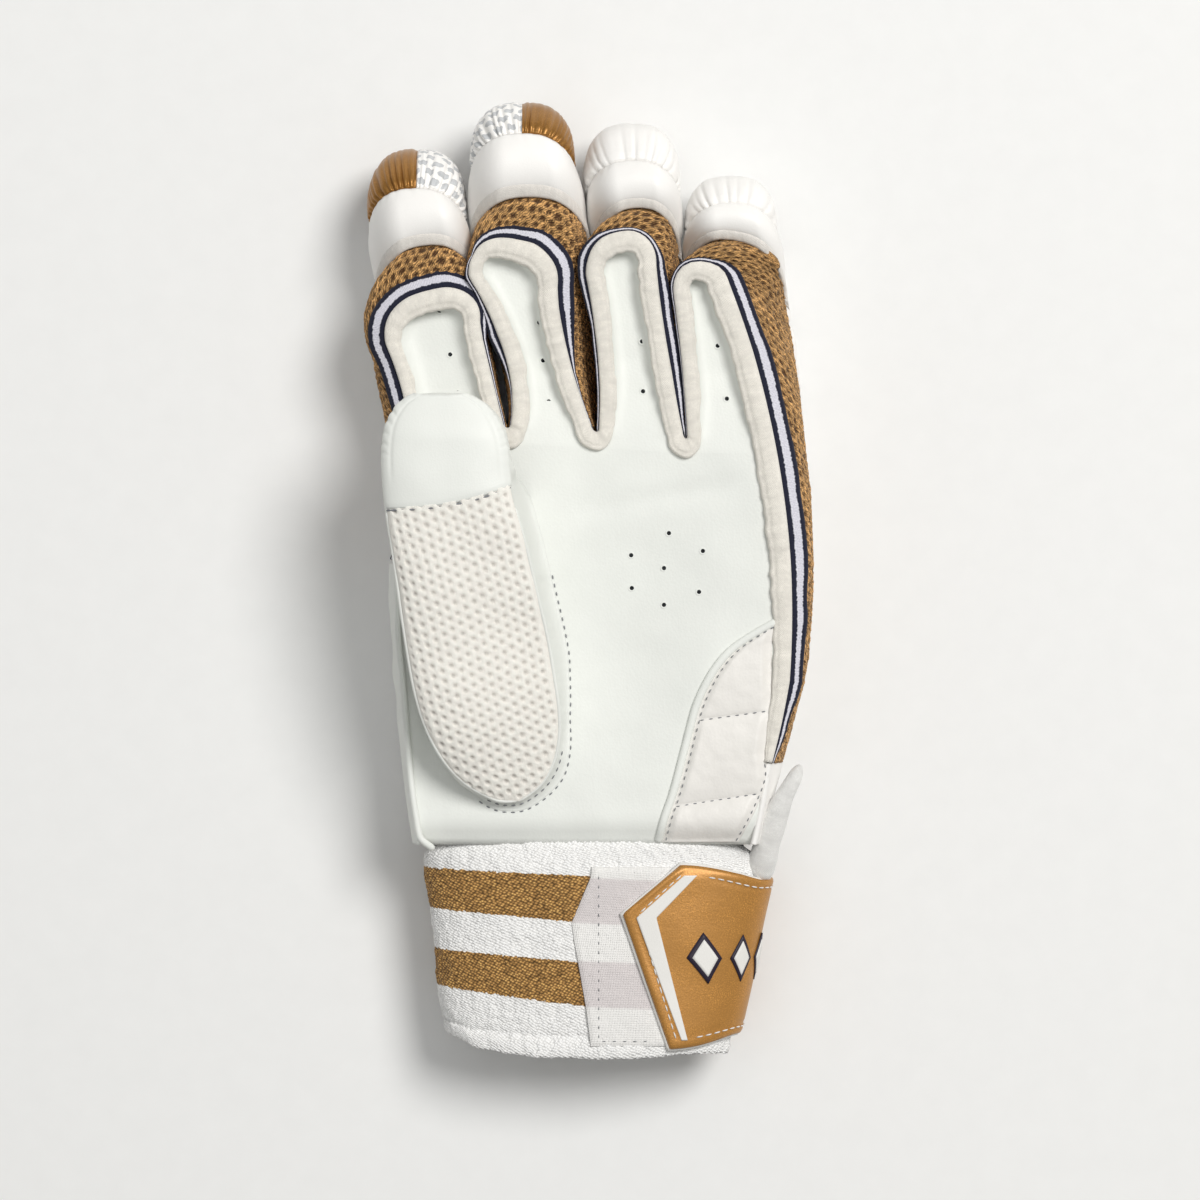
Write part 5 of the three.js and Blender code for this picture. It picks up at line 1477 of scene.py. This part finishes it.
def heel_line(low, high, shift=0.0):
    """A line across the heel patch between two of its edges' heights, resting on the hide."""
    s = steps(60)
    y = lerp(low, high, s)
    x = lerp(heel_side(HEEL_LEFT, low) + 1.6, heel_side(HEEL_RIGHT, high) - 1.0, s)
    return xyz(x, y, hide_height(x, y) + 0.65 + shift)


# Heel, sides and vent

def heel_patch():
    """The heel patch: three quilted panels between two curves, sunk along two seams, with a rolled left edge
    and stitches along seams and edges."""
    row = steps(150)
    y_left, y_right = (np.interp(row, HEEL_ROWS["row"], HEEL_ROWS[key]) for key in ("left", "right"))
    x_left, x_right = heel_side(HEEL_LEFT, y_left) + 0.5, heel_side(HEEL_RIGHT, y_right)
    s = steps(50)
    x, y = lerp(x_left[:, None], x_right[:, None], s[None]), lerp(y_left[:, None], y_right[:, None], s[None])
    panel = np.interp(row, HEEL_ROWS["row"], (0, 1, 2, 3))
    within = panel - np.floor(np.minimum(panel, 2.999))
    puff = np.maximum(0, np.sin(math.pi * np.clip(within, 0, 1))) ** 0.45
    puff = np.where((panel < 0.5) | (panel > 2.5), np.maximum(puff, 0.55), puff)[:, None]
    width = (x_right - x_left)[:, None]
    sides = smooth(np.minimum(s[None] * width, (1 - s[None]) * width), 0.3, 3.4)
    z = hide_height(x, y) + 0.35 + 1.5 * puff * (0.25 + 0.75 * sides) * sides**0.4
    z = z + 0.14 * bumps(x, y, 5, 95) + 0.08 * bumps(x, y, 2, 96)
    piece = slab("heel_quilt", xyz(x, y, z), xyz(x, y, hide_height(x, y) - 0.3), "heel_hide")
    finish_piece(piece, "palm_leather", "heel_patch")
    edge = path(np.c_[HEEL_LEFT, np.zeros(len(HEEL_LEFT))], 160)
    edge[:, 2] = hide_height(edge[:, 0], edge[:, 1]) + 0.45
    roll = tube("heel_rolled_edge", edge, 1.15, "palm_hide", squash=0.8)
    finish_piece(roll, "palm_leather", "heel_patch_edge")
    inside = edge + [2.1, 0, 0.75]
    side = path(np.c_[HEEL_RIGHT[3:], np.zeros(4)], 60) + [-0.9, 0, 0]
    side[:, 2] = hide_height(side[:, 0], side[:, 1]) + 0.7
    seams = [heel_line(35.5, 38.3), heel_line(10.9, 14.7)]
    sewn = stitches("heel_stitches", [inside[6:], side[6:], *seams], 2.3, 1.15, 0.17, "grey_thread")
    finish_piece(sewn, "palm_leather")


def side_panel(name, node, side, low, high, core, material, slot):
    """A side wall of the hand from the palm's edge down to the shell, bowed out and softly folded."""
    y = np.linspace(low, high, 80)[:, None]
    v = steps(16)[None]
    top_x, foot_x = hand_edge("front", side, y), hand_edge("foot", side, y)
    x = lerp(top_x, foot_x, v) + side * 2 * hump(v)
    z = lerp(palm_height(top_x, y) + 0.1, SHELL_TOP + SEAM, v)
    p = xyz(x, y + 0 * v, z)
    folds = 0.45 * bumps(y + 0 * v, v * 22, 7, 101) * hump(v) + 1.2
    piece = sheet(name, p, core, 0.2, material, height=folds)
    finish_piece(piece, slot, node)


def sides():
    core = np.array([0.0, 30.0, SHELL_TOP])
    valley = float(valley_y(0))
    side_panel("thumb_side", "thumb_side_panel", -1, 0.3, valley, core, "palm_hide", "padded_leather")
    side_panel("vent_side", "vent_panel", 1, 0.3, float(valley_y(-1)) - 0.3, core, "pad_leather",
               "padded_leather")
    y = np.linspace(-1.6, valley + 3, 170)
    x = hand_edge("front", -1, y)
    line = xyz(x - 0.5, y, palm_height(x, y) + 0.7)
    line[:, 0] += 0.5 * bumps(y, 0 * y, 15, 103) + 3.4 * bell(y + 1.6, 2.4)
    line[:, 2] += 0.2 * bumps(y, 0 * y, 9, 104) - 1.6 * bell(y + 1.6, 2.0)
    piece = tube("side_piping", line, 1.0, "palm_hide", squash=1.1)
    finish_piece(piece, "palm_leather", "edge_piping")
    points = [(61.4, 22.8, 31.5), (59.4, 18.6, 33.0), (56.6, 13.4, 32.6), (54.2, 7.4, 31.0),
              (52.2, 1.0, 29.0), (50.8, -5.0, 26.6), (49.6, -10.5, 24.0)]
    line = path(points, 110)
    share = steps(110)
    radius = lerp(1.9, 4.0, smooth(share, 0.0, 0.6)) * (0.98 + 0.05 * bumps(run(line), 0 * share, 5, 105))
    piece = tube("vent_tube", line, radius, "towel_plain", sides=28)
    finish_piece(piece, "towelling", "vent_roll")


# Farthest that the pressure moves a point of a roll, and the lowest it may lie, in millimetres
SWELL_LIMIT, LOWEST = 2.0, 0.3


SWELL_FRAMES = 20


def puffed(rolls):
    """The rolls' cloth blown up in one simulation: their flat tops are pinned to the shell, the rest swells
    under pressure and folds. No point ends farther than the limit from where it started."""
    points, faces, starts = joined(rolls)
    mesh = bpy.data.meshes.new("rolls_draft")
    mesh.from_pydata((points / 1000).tolist(), [], faces.tolist())
    draft = bpy.data.objects.new("rolls_draft", mesh)
    bpy.context.collection.objects.link(draft)
    held = [np.arange(start, start + len(grid[0]) // 2) for start, grid in zip(starts, rolls)]
    draft.vertex_groups.new(name="held").add(np.concatenate(held).tolist(), 1.0, "REPLACE")
    cloth = draft.modifiers.new("cloth", "CLOTH")
    setting = cloth.settings
    setting.quality, setting.mass, setting.tension_stiffness, setting.bending_stiffness = 6, 0.3, 12, 0.4
    setting.vertex_group_mass = "held"
    setting.use_pressure, setting.uniform_pressure_force, setting.shrink_min = True, 4.0, -0.06
    setting.effector_weights.gravity = 0
    cloth.point_cache.frame_start, cloth.point_cache.frame_end = 1, SWELL_FRAMES
    scene = bpy.context.scene
    for frame in range(1, SWELL_FRAMES + 1):
        scene.frame_set(frame)
    settled = draft.evaluated_get(bpy.context.evaluated_depsgraph_get())
    result = np.empty(3 * len(points))
    settled.data.vertices.foreach_get("co", result)
    scene.frame_set(1)
    bpy.data.objects.remove(draft)
    bpy.data.meshes.remove(mesh)
    move = 1000 * result.reshape(-1, 3) - points
    far = np.linalg.norm(move, axis=1, keepdims=True)
    points = points + move * np.minimum(1, SWELL_LIMIT / np.maximum(far, 1e-6))
    points[:, 2] = np.maximum(points[:, 2], LOWEST)
    return np.split(points, starts[1:-1])


# Cuff and strap

CUFF_TABLE = np.array([[-0.05, -0.69, 0.69], [0.02, -0.7, 0.7], [0.08, -0.725, 0.77], [0.14, -0.735, 0.81],
                       [1, -0.63, 0.64]])
CUFF_POWER = 2 / 2.6
CUFF_CORE = np.array([0.0, -30.0, 20.0])


def cuff_frame(y):
    """Centre, width, top and bottom of the cuff's section at a place along it."""
    far = -y / CUFF_LENGTH
    left = across(np.interp(far, CUFF_TABLE[:, 0], CUFF_TABLE[:, 1]))
    right = across(np.interp(far, CUFF_TABLE[:, 0], CUFF_TABLE[:, 2]))
    flare = smooth(far, 0.02, 0.14)
    return (left + right) / 2, right - left, lerp(33.05, PALM_TOP, flare), lerp(16.1, 4.65, flare)


def cuff_surface(angle, y, out):
    """A flattened ring about the cuff's axis: a superellipse of that section, moved outwards."""
    centre, width, top, bottom = cuff_frame(y)
    c, s = np.cos(angle), np.sin(angle)
    x = centre + (width / 2 + out) * np.sign(c) * np.abs(c) ** CUFF_POWER
    z = (top + bottom) / 2 + ((top - bottom) / 2 + out) * np.sign(s) * np.abs(s) ** CUFF_POWER
    return xyz(x, y, z)


def cuff_angle(x, y):
    centre, width = cuff_frame(y)[:2]
    c = np.clip((x - centre) / (width / 2), -0.999, 0.999)
    return np.arccos(np.sign(c) * np.abs(c) ** (1 / CUFF_POWER))


def even_angles(count):
    """Angles that lie evenly round the cuff at mid length."""
    angle = np.linspace(0, TAU, 4001)
    length = run(cuff_surface(angle, -30.0, 0.0))
    return np.interp(np.linspace(0, length[-1], count + 1)[:-1], length, angle)


def cuff_stripe(x, y):
    """Distance in millimetres into the nearer of the two bronze stripes, negative outside them."""
    slope = x + 45
    first = np.minimum(-6.9 - 0.043 * slope - y, y + 18.4 + 0.086 * slope)
    second = np.minimum(-30.0 - 0.078 * slope - y, y + 40.6 + 0.122 * slope)
    return np.maximum(first, second)


def cuff_piece():
    """The towelling cuff: the cuff's surface with a seeded height for every loop, tucked in at the seam and
    rounded over at the open end, its wall 2.6 mm thick."""
    angle = even_angles(370)[:, None]
    y = np.concatenate([[3.2, 1.6], np.linspace(0.6, -CUFF_LENGTH, 84)])[None]
    p = cuff_surface(angle, y, 0.0)
    n = np.arange(370)[:, None] * 0.68 + 0 * y
    rows = 0.16 * np.cos(TAU * (n + 0.45 * y) / 1.05) * np.cos(TAU * y / 1.3)
    loops = rows + 0.22 * bumps(n * 1.0, y + 0 * n, 0.95, 111) + 0.24 * bumps(n, y + 0 * n, 2.6, 112)
    soft = 0.6 * bumps(n, y + 0 * n, 14, 113) * smooth(-y, 2, 20)
    hem = -0.6 * bell(y + 54.5, 0.8) + 0.5 * bell(y + 58.0, 2.2)
    gather = -0.5 * smooth(y, -0.5, 1.2) + 0.9 * bell(y + 3.0, 3.4)
    height = loops + soft + hem + gather - 0.2
    ripple = 0.7 * bumps(n, 0 * n, 9, 114) * smooth(-y, 40, 60) + 0.2 * bumps(n, 0 * n, 1.1, 115)
    outer = lifted(p, CUFF_CORE, height, ring=True)
    outer[..., 1] += ripple * (y < -50)
    corner = smooth(-y, 40, 61) ** 2 * bell(outer[..., 0] + 42, 11)
    outer[..., 1] += 6.5 * corner
    outer[..., 2] = np.maximum(outer[..., 2], 4.4)
    inner = lifted(p, CUFF_CORE, -2.6 + 0.25 * loops, ring=True)
    inner[..., 1] += ripple * (y < -50) + 6.5 * smooth(-y, 40, 61) ** 2 * bell(inner[..., 0] + 42, 11)
    uv = cloth_uv(p, ring=True)
    striped = (outer[..., 2] > 8) & (outer[..., 0] < 30)
    stripe = np.where(striped, cuff_stripe(outer[..., 0], outer[..., 1]), -4)
    piece = slab("towelling_cuff", outer, inner, "towelling", ring=True, uv=uv,
                 mark={"stripe": np.clip(stripe, -4, 4)})
    finish_piece(piece, "towelling", "cuff")
    declared(p, ring=True)


# Left edge of the loop cloth, which slants where the bronze stripes end
LOOP_EDGE = np.array([[-6.0, 1.6], [-9.2, 1.3], [-22.3, -4.2], [-28.0, -3.4], [-33.6, -2.3], [-46.2, -0.1],
                      [-58.5, 1.4]])


def loop_piece():
    """The flat-woven loop patch on the palm side of the cuff, with small stitches down its edges."""
    u = steps(60)[:, None]
    low, high = -57.6, -6.4
    y = np.linspace(low, high, 110)[None]
    x = lerp(np.interp(-y, -LOOP_EDGE[:, 0], LOOP_EDGE[:, 1]), 24.0, u)
    p = cuff_surface(cuff_angle(x, y), y + 0 * u, 0.0)
    edge = np.minimum(np.minimum(u, 1 - u) * 24, np.minimum(high - y, y - low))
    soft = 0.25 * bumps(x, y + 0 * u, 7, 121) + 0.08 * bumps(x, y + 0 * u, 1.2, 122)
    slope = 0.043 * (x - 1.3)
    first = np.minimum(-9.4 - slope - y, y + 22.4 + slope)
    second = np.minimum(-33.2 - slope - y, y + 46.2 + slope)
    piece = sheet("loop_patch_cloth", p, CUFF_CORE, 0.2, "loop_cloth",
                  height=0.5 + 0.4 * smooth(edge, 0, 1.2) + soft,
                  mark={"stripe": smooth(np.maximum(first, second), -0.3, 0.3)})
    finish_piece(piece, "loop_cloth", "loop_patch")
    declared(p)
    y = np.linspace(-8, -56, 80)
    x = np.linspace(3.6, 18, 40)
    lines = [cuff_surface(cuff_angle(3.6 + 0 * y, y), y, 1.0),
             cuff_surface(cuff_angle(x, -56.0 + 0 * x), -56.0 + 0 * x, 1.0)]
    sewn = stitches("loop_patch_stitches", lines, 2.6, 1.0, 0.14, "grey_thread")
    finish_piece(sewn, "loop_cloth")


STRAP_BACK = math.radians(-105)
STRAP_END = {"v": (0.0, 0.73, 1.0), "x": (22.6, 9.4, 26.2)}


def strap_surface(u, v, out):
    """The strap from its pointed end (u = 0) round the cuff's little-finger side to the back (u = 1); v runs
    across it from its lower to its upper edge."""
    u, v = np.broadcast_arrays(np.asarray(u, float), v)
    x = np.interp(v, STRAP_END["v"], STRAP_END["x"])
    settle = smooth(u, 0.0, 0.28)
    low, high = lerp(-0.972, -0.915, settle), lerp(-0.083, -0.165, settle)
    y = lerp(low, high, v) * CUFF_LENGTH
    return cuff_surface(lerp(cuff_angle(x, y), STRAP_BACK, u), y, out)


def strap_pieces():
    """The strap's pale backing and its bronze face, drawn in along the white stitches near its edge."""
    u = steps(180)[:, None]
    v = np.unique(np.concatenate([np.linspace(0, 0.73, 34), np.linspace(0.73, 1, 16)]))[None]
    length, height = run(strap_surface(u, v, 3.0), axis=0), run(strap_surface(u, v, 3.0), axis=1)
    edge = np.minimum(np.minimum(length, length[-1:] - length), np.minimum(height, height[:, -1:] - height))
    back = strap_surface(u, v, 1.9)
    piece = slab("strap_back_layer", back, strap_surface(u, v, 1.0), "white_print")
    finish_piece(piece, "lining", "strap_backing")
    inner_u, inner_v = lerp(0.0035, 0.998, u), lerp(0.012, 0.988, v)
    face = strap_surface(inner_u, inner_v, 3.0)
    drawn = 0.3 * bumps(length, height, 16, 131) - 0.3 * bell(edge - 3.0, 0.5)
    top = lifted(face, CUFF_CORE, drawn - 0.3 * (1 - smooth(edge, 0, 0.6)))
    piece = slab("strap_face", top, strap_surface(inner_u, inner_v, 1.95), "strap_leather")
    finish_piece(piece, "bronze_leather", "strap")
    total = float(length[-1].mean())
    inset = 2.7 / total
    s = np.linspace(0.06, 0.94, 160)
    around = [strap_surface(inset * 1.05 + 0 * s, s, 3.05)]
    around += [strap_surface(lerp(inset, 0.97, s), side + 0 * s, 3.05) for side in (0.06, 0.94)]
    sewn = stitches("strap_stitches", around, 2.7, 2.0, 0.22, "white_thread", up=(0.2, 0, 1))
    finish_piece(sewn, "lining")


# Edges of the chevron at heights y
CHEVRON = {"y": (-55.7, -20.6, -8.6), "outer": (25.4, 13.6, 26.5), "inner": (26.9, 18.9, 29.9)}


def strap_point(u_length, v_share, out):
    """A point on the strap at a length from its pointed edge, in millimetres, and a share across it."""
    u_length, v_share = np.broadcast_arrays(np.asarray(u_length, float), v_share)
    u = steps(400)
    total = run(strap_surface(u, 0.5, out))[-1]
    return strap_surface(np.clip(u_length / total, 0.001, 0.999), v_share, out)


def strap_trim():
    """The white chevron beside the pointed edge and the row of plain diamonds."""
    y = np.linspace(CHEVRON["y"][0], CHEVRON["y"][-1], 120)[None]
    s = steps(12)[:, None]
    x = lerp(np.interp(y, CHEVRON["y"], CHEVRON["outer"]), np.interp(y, CHEVRON["y"], CHEVRON["inner"]), s)
    top, under = (cuff_surface(cuff_angle(x, y), y + 0 * s, out) for out in (3.35, 2.8))
    finish_piece(slab("strap_chevron", top, under, "white_print"), "lining")
    w = np.linspace(-1, 1, 9)
    p, q = np.meshgrid(w, w, indexing="ij")
    du, dv = (p + q) / 2, (p - q) / 2
    count = 6
    at = 17.0 + 14.5 * np.arange(count)[:, None, None]
    for name, size, out, material in (("strap_diamond_edges", 1.0, 3.35, "navy_print"),
                                      ("strap_diamonds", 0.72, 3.6, "white_print")):
        place = at + du * 5.6 * size, 0.5 + dv * 0.15 * size
        top, under = (strap_point(*place, level) for level in (out, 2.8))
        points, faces = joined([slab_arrays(top[k], under[k]) for k in range(count)])[:2]
        finish_piece(mesh_of(name, points, faces, material), "lining")


def slab_arrays(outer, inner):
    """Points and outward quads of a small closed slab between two grids."""
    rows, columns = outer.shape[:2]
    points = np.concatenate([outer.reshape(-1, 3), inner.reshape(-1, 3)])
    layer = rows * columns
    grid = quads(cells(rows - 1, columns - 1), columns)[:, TURNED]
    edge = np.concatenate([np.arange(columns), np.arange(1, rows) * columns + columns - 1,
                           (rows - 1) * columns + np.arange(columns - 1)[::-1],
                           np.arange(1, rows - 1)[::-1] * columns])
    after = np.roll(edge, -1)
    rim = np.stack([edge, after, after + layer, edge + layer], axis=-1)
    faces = np.concatenate([grid, grid[:, ::-1] + layer, rim])
    return points, faces if faces_out(points, faces) else faces[:, ::-1]


# Back of the hand


def roll_top(y):
    return PAD + curl(y)


def roll_grid(left, right, y0, y1, top, thickness, rows, columns):
    """The flat top and the round bottom of a sausage roll that is pinched at its two ends."""
    u, v = steps(rows)[:, None], steps(columns)[None]
    y = lerp(y0, y1, u)
    narrow = 0.6 * np.abs(2 * u - 1) ** 4
    x = lerp(left(y) + narrow, right(y) - narrow, v)

    def beyond(w, level):
        return np.maximum(0, np.abs(2 * w - 1) - level) / (1 - level)

    rounded = np.sqrt(np.maximum(0, 1 - beyond(v, 1 / 3) ** 2.4))
    pinch = 1 - 0.38 * beyond(u, 0.2) ** 3.5
    depth = thickness * (0.12 + 0.88 * rounded) * pinch
    z = top(y)
    return xyz(x, y + 0 * v, z + 0 * x), xyz(x, y + 0 * v, z - depth)


def lane_x(lane, side):
    """One side of a lane as a function of y."""
    k = lane + (side > 0)
    if k in (0, 4):
        return lambda y: hand_edge("outer", -1 if k == 0 else 1, y) - side * SEAM
    return lambda y: lerp(across(LANES[k]), valley_x(k), y / valley_y(k)) - side * SEAM


def thumb_edge(side):
    """One side of the thumb as a function of y."""
    def at(y):
        share = (y - thumb_y(0)) / (thumb_y(1) - thumb_y(0))
        return thumb_section(share)[0 if side < 0 else 1] - side * 0.5

    return at


def back_rolls():
    """All the rolls of the back: the CAD solid each stands for, its two sides, ends, top and thickness."""
    low, knuckle = float(along(0.14)), float(along(0.49))
    made = []
    for i, finger in enumerate(FINGERS):
        outer = OUTLINES[i]["outer"]
        pitch = (outer.shoulder - SEAM - knuckle) / 3
        edges = [lambda y, side=side, outer=outer: outer.side_x(side, y) for side in (-1, 1)]
        for k in range(3):
            y0 = knuckle + k * pitch
            name = f"{finger['name']}_roll_{k + 1}"
            made.append((name, *edges, y0 + SEAM, y0 + pitch - SEAM, roll_top, PAD))
        lanes = [lane_x(i, side) for side in (-1, 1)]
        made.append((f"{finger['name']}_hand_roll", *lanes, low, knuckle - SEAM, roll_top, PAD))
    wrist = [lambda y, side=side: hand_edge("outer", side, y) - side * SEAM for side in (-1, 1)]
    made.append(("wrist_roll", *wrist, float(along(0.015)), low - 2 * SEAM, roll_top, PAD))
    ends = [float(thumb_y(share)) for share in (THUMB_FREE + 0.02, 0.68, 0.83, 0.97)]
    for k in range(3):
        name = f"thumb_roll_{k + 1}"
        made.append((name, thumb_edge(-1), thumb_edge(1), ends[k] + SEAM, ends[k + 1] - SEAM,
                     lambda y: THUMB_SHELL - SHELL_CLOTH - SEAM + 0 * y, THUMB_PAD))
    return made


def back_pieces():
    """The rolls: closed pads whose leather is drawn in at the end seams with small folds."""
    made, drafts = back_rolls(), []
    for n, (node, left, right, y0, y1, top, thickness) in enumerate(made):
        size = 17
        upper, lower = roll_grid(left, right, y0, y1, top, thickness, size, size)
        u = steps(size)[:, None]
        x, y = lower[..., 0], lower[..., 1]
        ends = bell(np.minimum(u, 1 - u) * (y1 - y0), 3.0)
        lower[..., 2] += 0.35 * ends * (0.5 + 0.5 * np.cos(TAU * x / 3.2)) + 0.2 * bumps(x, y, 7, 141 + n)
        lower[..., 2] = np.maximum(lower[..., 2], 0.6)
        drafts.append(slab_arrays(upper, lower))
    shapes = puffed(drafts)
    for (points, faces), shape, row in zip(drafts, shapes, made):
        node = row[0]
        piece = mesh_of(node.replace("roll", "pad"), shape, faces, "pad_leather")
        finer = piece.modifiers.new("finer", "SUBSURF")
        finer.levels = finer.render_levels = 1
        finish_piece(piece, "padded_leather", node)


def back_cloth():
    """The shell cloth that carries the rolls: four lanes like the palm's, under the hand and the thumb."""
    bodies = []
    for lane in range(4):
        sides = [np.concatenate(lane_side(lane, side, "foot", 0.4, 2.8, 40, 40)[:2]) for side in (-1, 1)]
        flat = lerp(sides[0][:, None], sides[1][:, None], steps(13)[None, :, None])
        x, y = flat[..., 0], flat[..., 1]
        top = xyz(x, y, SHELL_TOP + curl(y) + 0.1 * bumps(x, y, 5, 161))
        bodies.append(slab_arrays(top, top - [0, 0, 1.3]))
    points, faces = joined(bodies)[:2]
    piece = mesh_of("back_cloth", points, faces, "lining_cloth", points[faces][..., :2])
    finish_piece(piece, "lining", "back_shell")
    share = np.linspace(THUMB_FREE - 0.06, 0.985, 24)[:, None]
    wide = np.linspace(0.03, 0.97, 10)[None]
    left, right = thumb_section(share)[:2]
    inset = np.where(share > THUMB_FREE, 0.7, 3.5)
    x = lerp(left + inset, right - inset, wide)
    top = xyz(x, thumb_y(share) + 0 * x, THUMB_SHELL + 0 * x)
    piece = slab("thumb_back_cloth", top, top - [0, 0, SHELL_CLOTH], "lining_cloth")
    finish_piece(piece, "lining", "thumb_back_shell")


# Stage


def stage():
    """Pale floor, soft light from the upper right and a camera straight above."""
    mesh = bpy.data.meshes.new("floor")
    side = 3.0
    corners = [(-side, -side, 0), (side, -side, 0), (side, side, 0), (-side, side, 0)]
    mesh.from_pydata(corners, [], [(0, 1, 2, 3)])
    mesh.materials.append(finish("floor_paper"))
    floor = bpy.data.objects.new("floor", mesh)
    bpy.context.collection.objects.link(floor)
    for name, place, size, power, tint in (("key", (1.0, 0.85, 2.1), 1.1, 45.0, (1, 0.99, 0.97)),
                                           ("fill", (-0.3, 0.3, 1.4), 1.2, 3.0, (0.95, 0.98, 1))):
        lamp = bpy.data.lights.new(name, "AREA")
        lamp.shape, lamp.size, lamp.energy, lamp.color = "DISK", size, power, tint
        light = bpy.data.objects.new(name, lamp)
        light.location = place
        light.rotation_euler = (Vector((0, 0, 0.02)) - Vector(place)).to_track_quat("-Z", "Y").to_euler()
        bpy.context.collection.objects.link(light)
    world = bpy.data.worlds.new("studio")
    world.use_nodes = True
    background = world.node_tree.nodes["Background"]
    background.inputs["Color"].default_value = lit(238, 237, 234)
    background.inputs["Strength"].default_value = 0.34
    scene = bpy.context.scene
    scene.world = world
    scene.view_settings.view_transform = "Standard"
    lens = bpy.data.cameras.new("camera")
    lens.sensor_width, lens.lens = 36, 126
    scene.camera = bpy.data.objects.new("camera", lens)
    scene.camera.location = (0.00371, -0.00587, 1.235)
    bpy.context.collection.objects.link(scene.camera)


# Operators


def fingers():
    for i in range(4):
        for make in (knit_wall, tape_band, end_band, tip_cap):
            make(i)
    binding_piece()


class Step:
    """What the glove's operators share: each makes its own parts."""

    def execute(self, context):
        for make in self.parts:
            make()
        return {"FINISHED"}


class GLOVE_OT_stage(Step, bpy.types.Operator):
    """Make the floor, the lights and the camera"""

    bl_idname, bl_label = "glove.stage", "Stage"
    parts = (stage,)


class GLOVE_OT_palm(Step, bpy.types.Operator):
    """Make the palm hide with its punched holes, the heel patch and the sides of the hand"""

    bl_idname, bl_label = "glove.palm", "Palm and sides"
    parts = (palm_piece, punched_holes, heel_patch, sides)


class GLOVE_OT_fingers(Step, bpy.types.Operator):
    """Make each finger's knit wall, tape, binding, padded end and cap"""

    bl_idname, bl_label = "glove.fingers", "Fingers"
    parts = (fingers,)


class GLOVE_OT_thumb(Step, bpy.types.Operator):
    """Make the thumb's spacer cloth, leather tip and skirt"""

    bl_idname, bl_label = "glove.thumb", "Thumb"
    parts = (thumb_mesh, thumb_tip, thumb_skirt)


class GLOVE_OT_cuff(Step, bpy.types.Operator):
    """Make the towelling cuff, its loop patch and the strap"""

    bl_idname, bl_label = "glove.cuff", "Cuff and strap"
    parts = (cuff_piece, loop_piece, strap_pieces, strap_trim)


class GLOVE_OT_back(Step, bpy.types.Operator):
    """Make the padded rolls and the cloth that carries them"""

    bl_idname, bl_label = "glove.back", "Back of the hand"
    parts = (back_pieces, back_cloth)


STEPS = (GLOVE_OT_stage, GLOVE_OT_palm, GLOVE_OT_fingers, GLOVE_OT_thumb, GLOVE_OT_cuff, GLOVE_OT_back)


class GLOVE_PT_panel(bpy.types.Panel):
    """Lists the glove's operators, sizes and colours"""

    bl_label = "Batting glove"
    bl_idname = "GLOVE_PT_panel"
    bl_space_type = "VIEW_3D"
    bl_region_type = "UI"
    bl_category = "Glove"

    def draw(self, context):
        for group in (context.scene.glove_sizes, context.scene.glove_colours):
            box = self.layout.box()
            for key in group.__annotations__:
                box.prop(group, key)
        for step in STEPS:
            self.layout.operator(step.bl_idname)


CLASSES = (GloveSizes, GloveColours, *STEPS, GLOVE_PT_panel)


def register():
    for entry in CLASSES:
        bpy.utils.register_class(entry)
    bpy.types.Scene.glove_sizes = PointerProperty(type=GloveSizes)
    bpy.types.Scene.glove_colours = PointerProperty(type=GloveColours)


def unregister():
    del bpy.types.Scene.glove_colours
    del bpy.types.Scene.glove_sizes
    for entry in reversed(CLASSES):
        bpy.utils.unregister_class(entry)


def main():
    register()
    for step in STEPS:
        group, name = step.bl_idname.split(".")
        getattr(getattr(bpy.ops, group), name)()


if __name__ == "__main__":
    main()
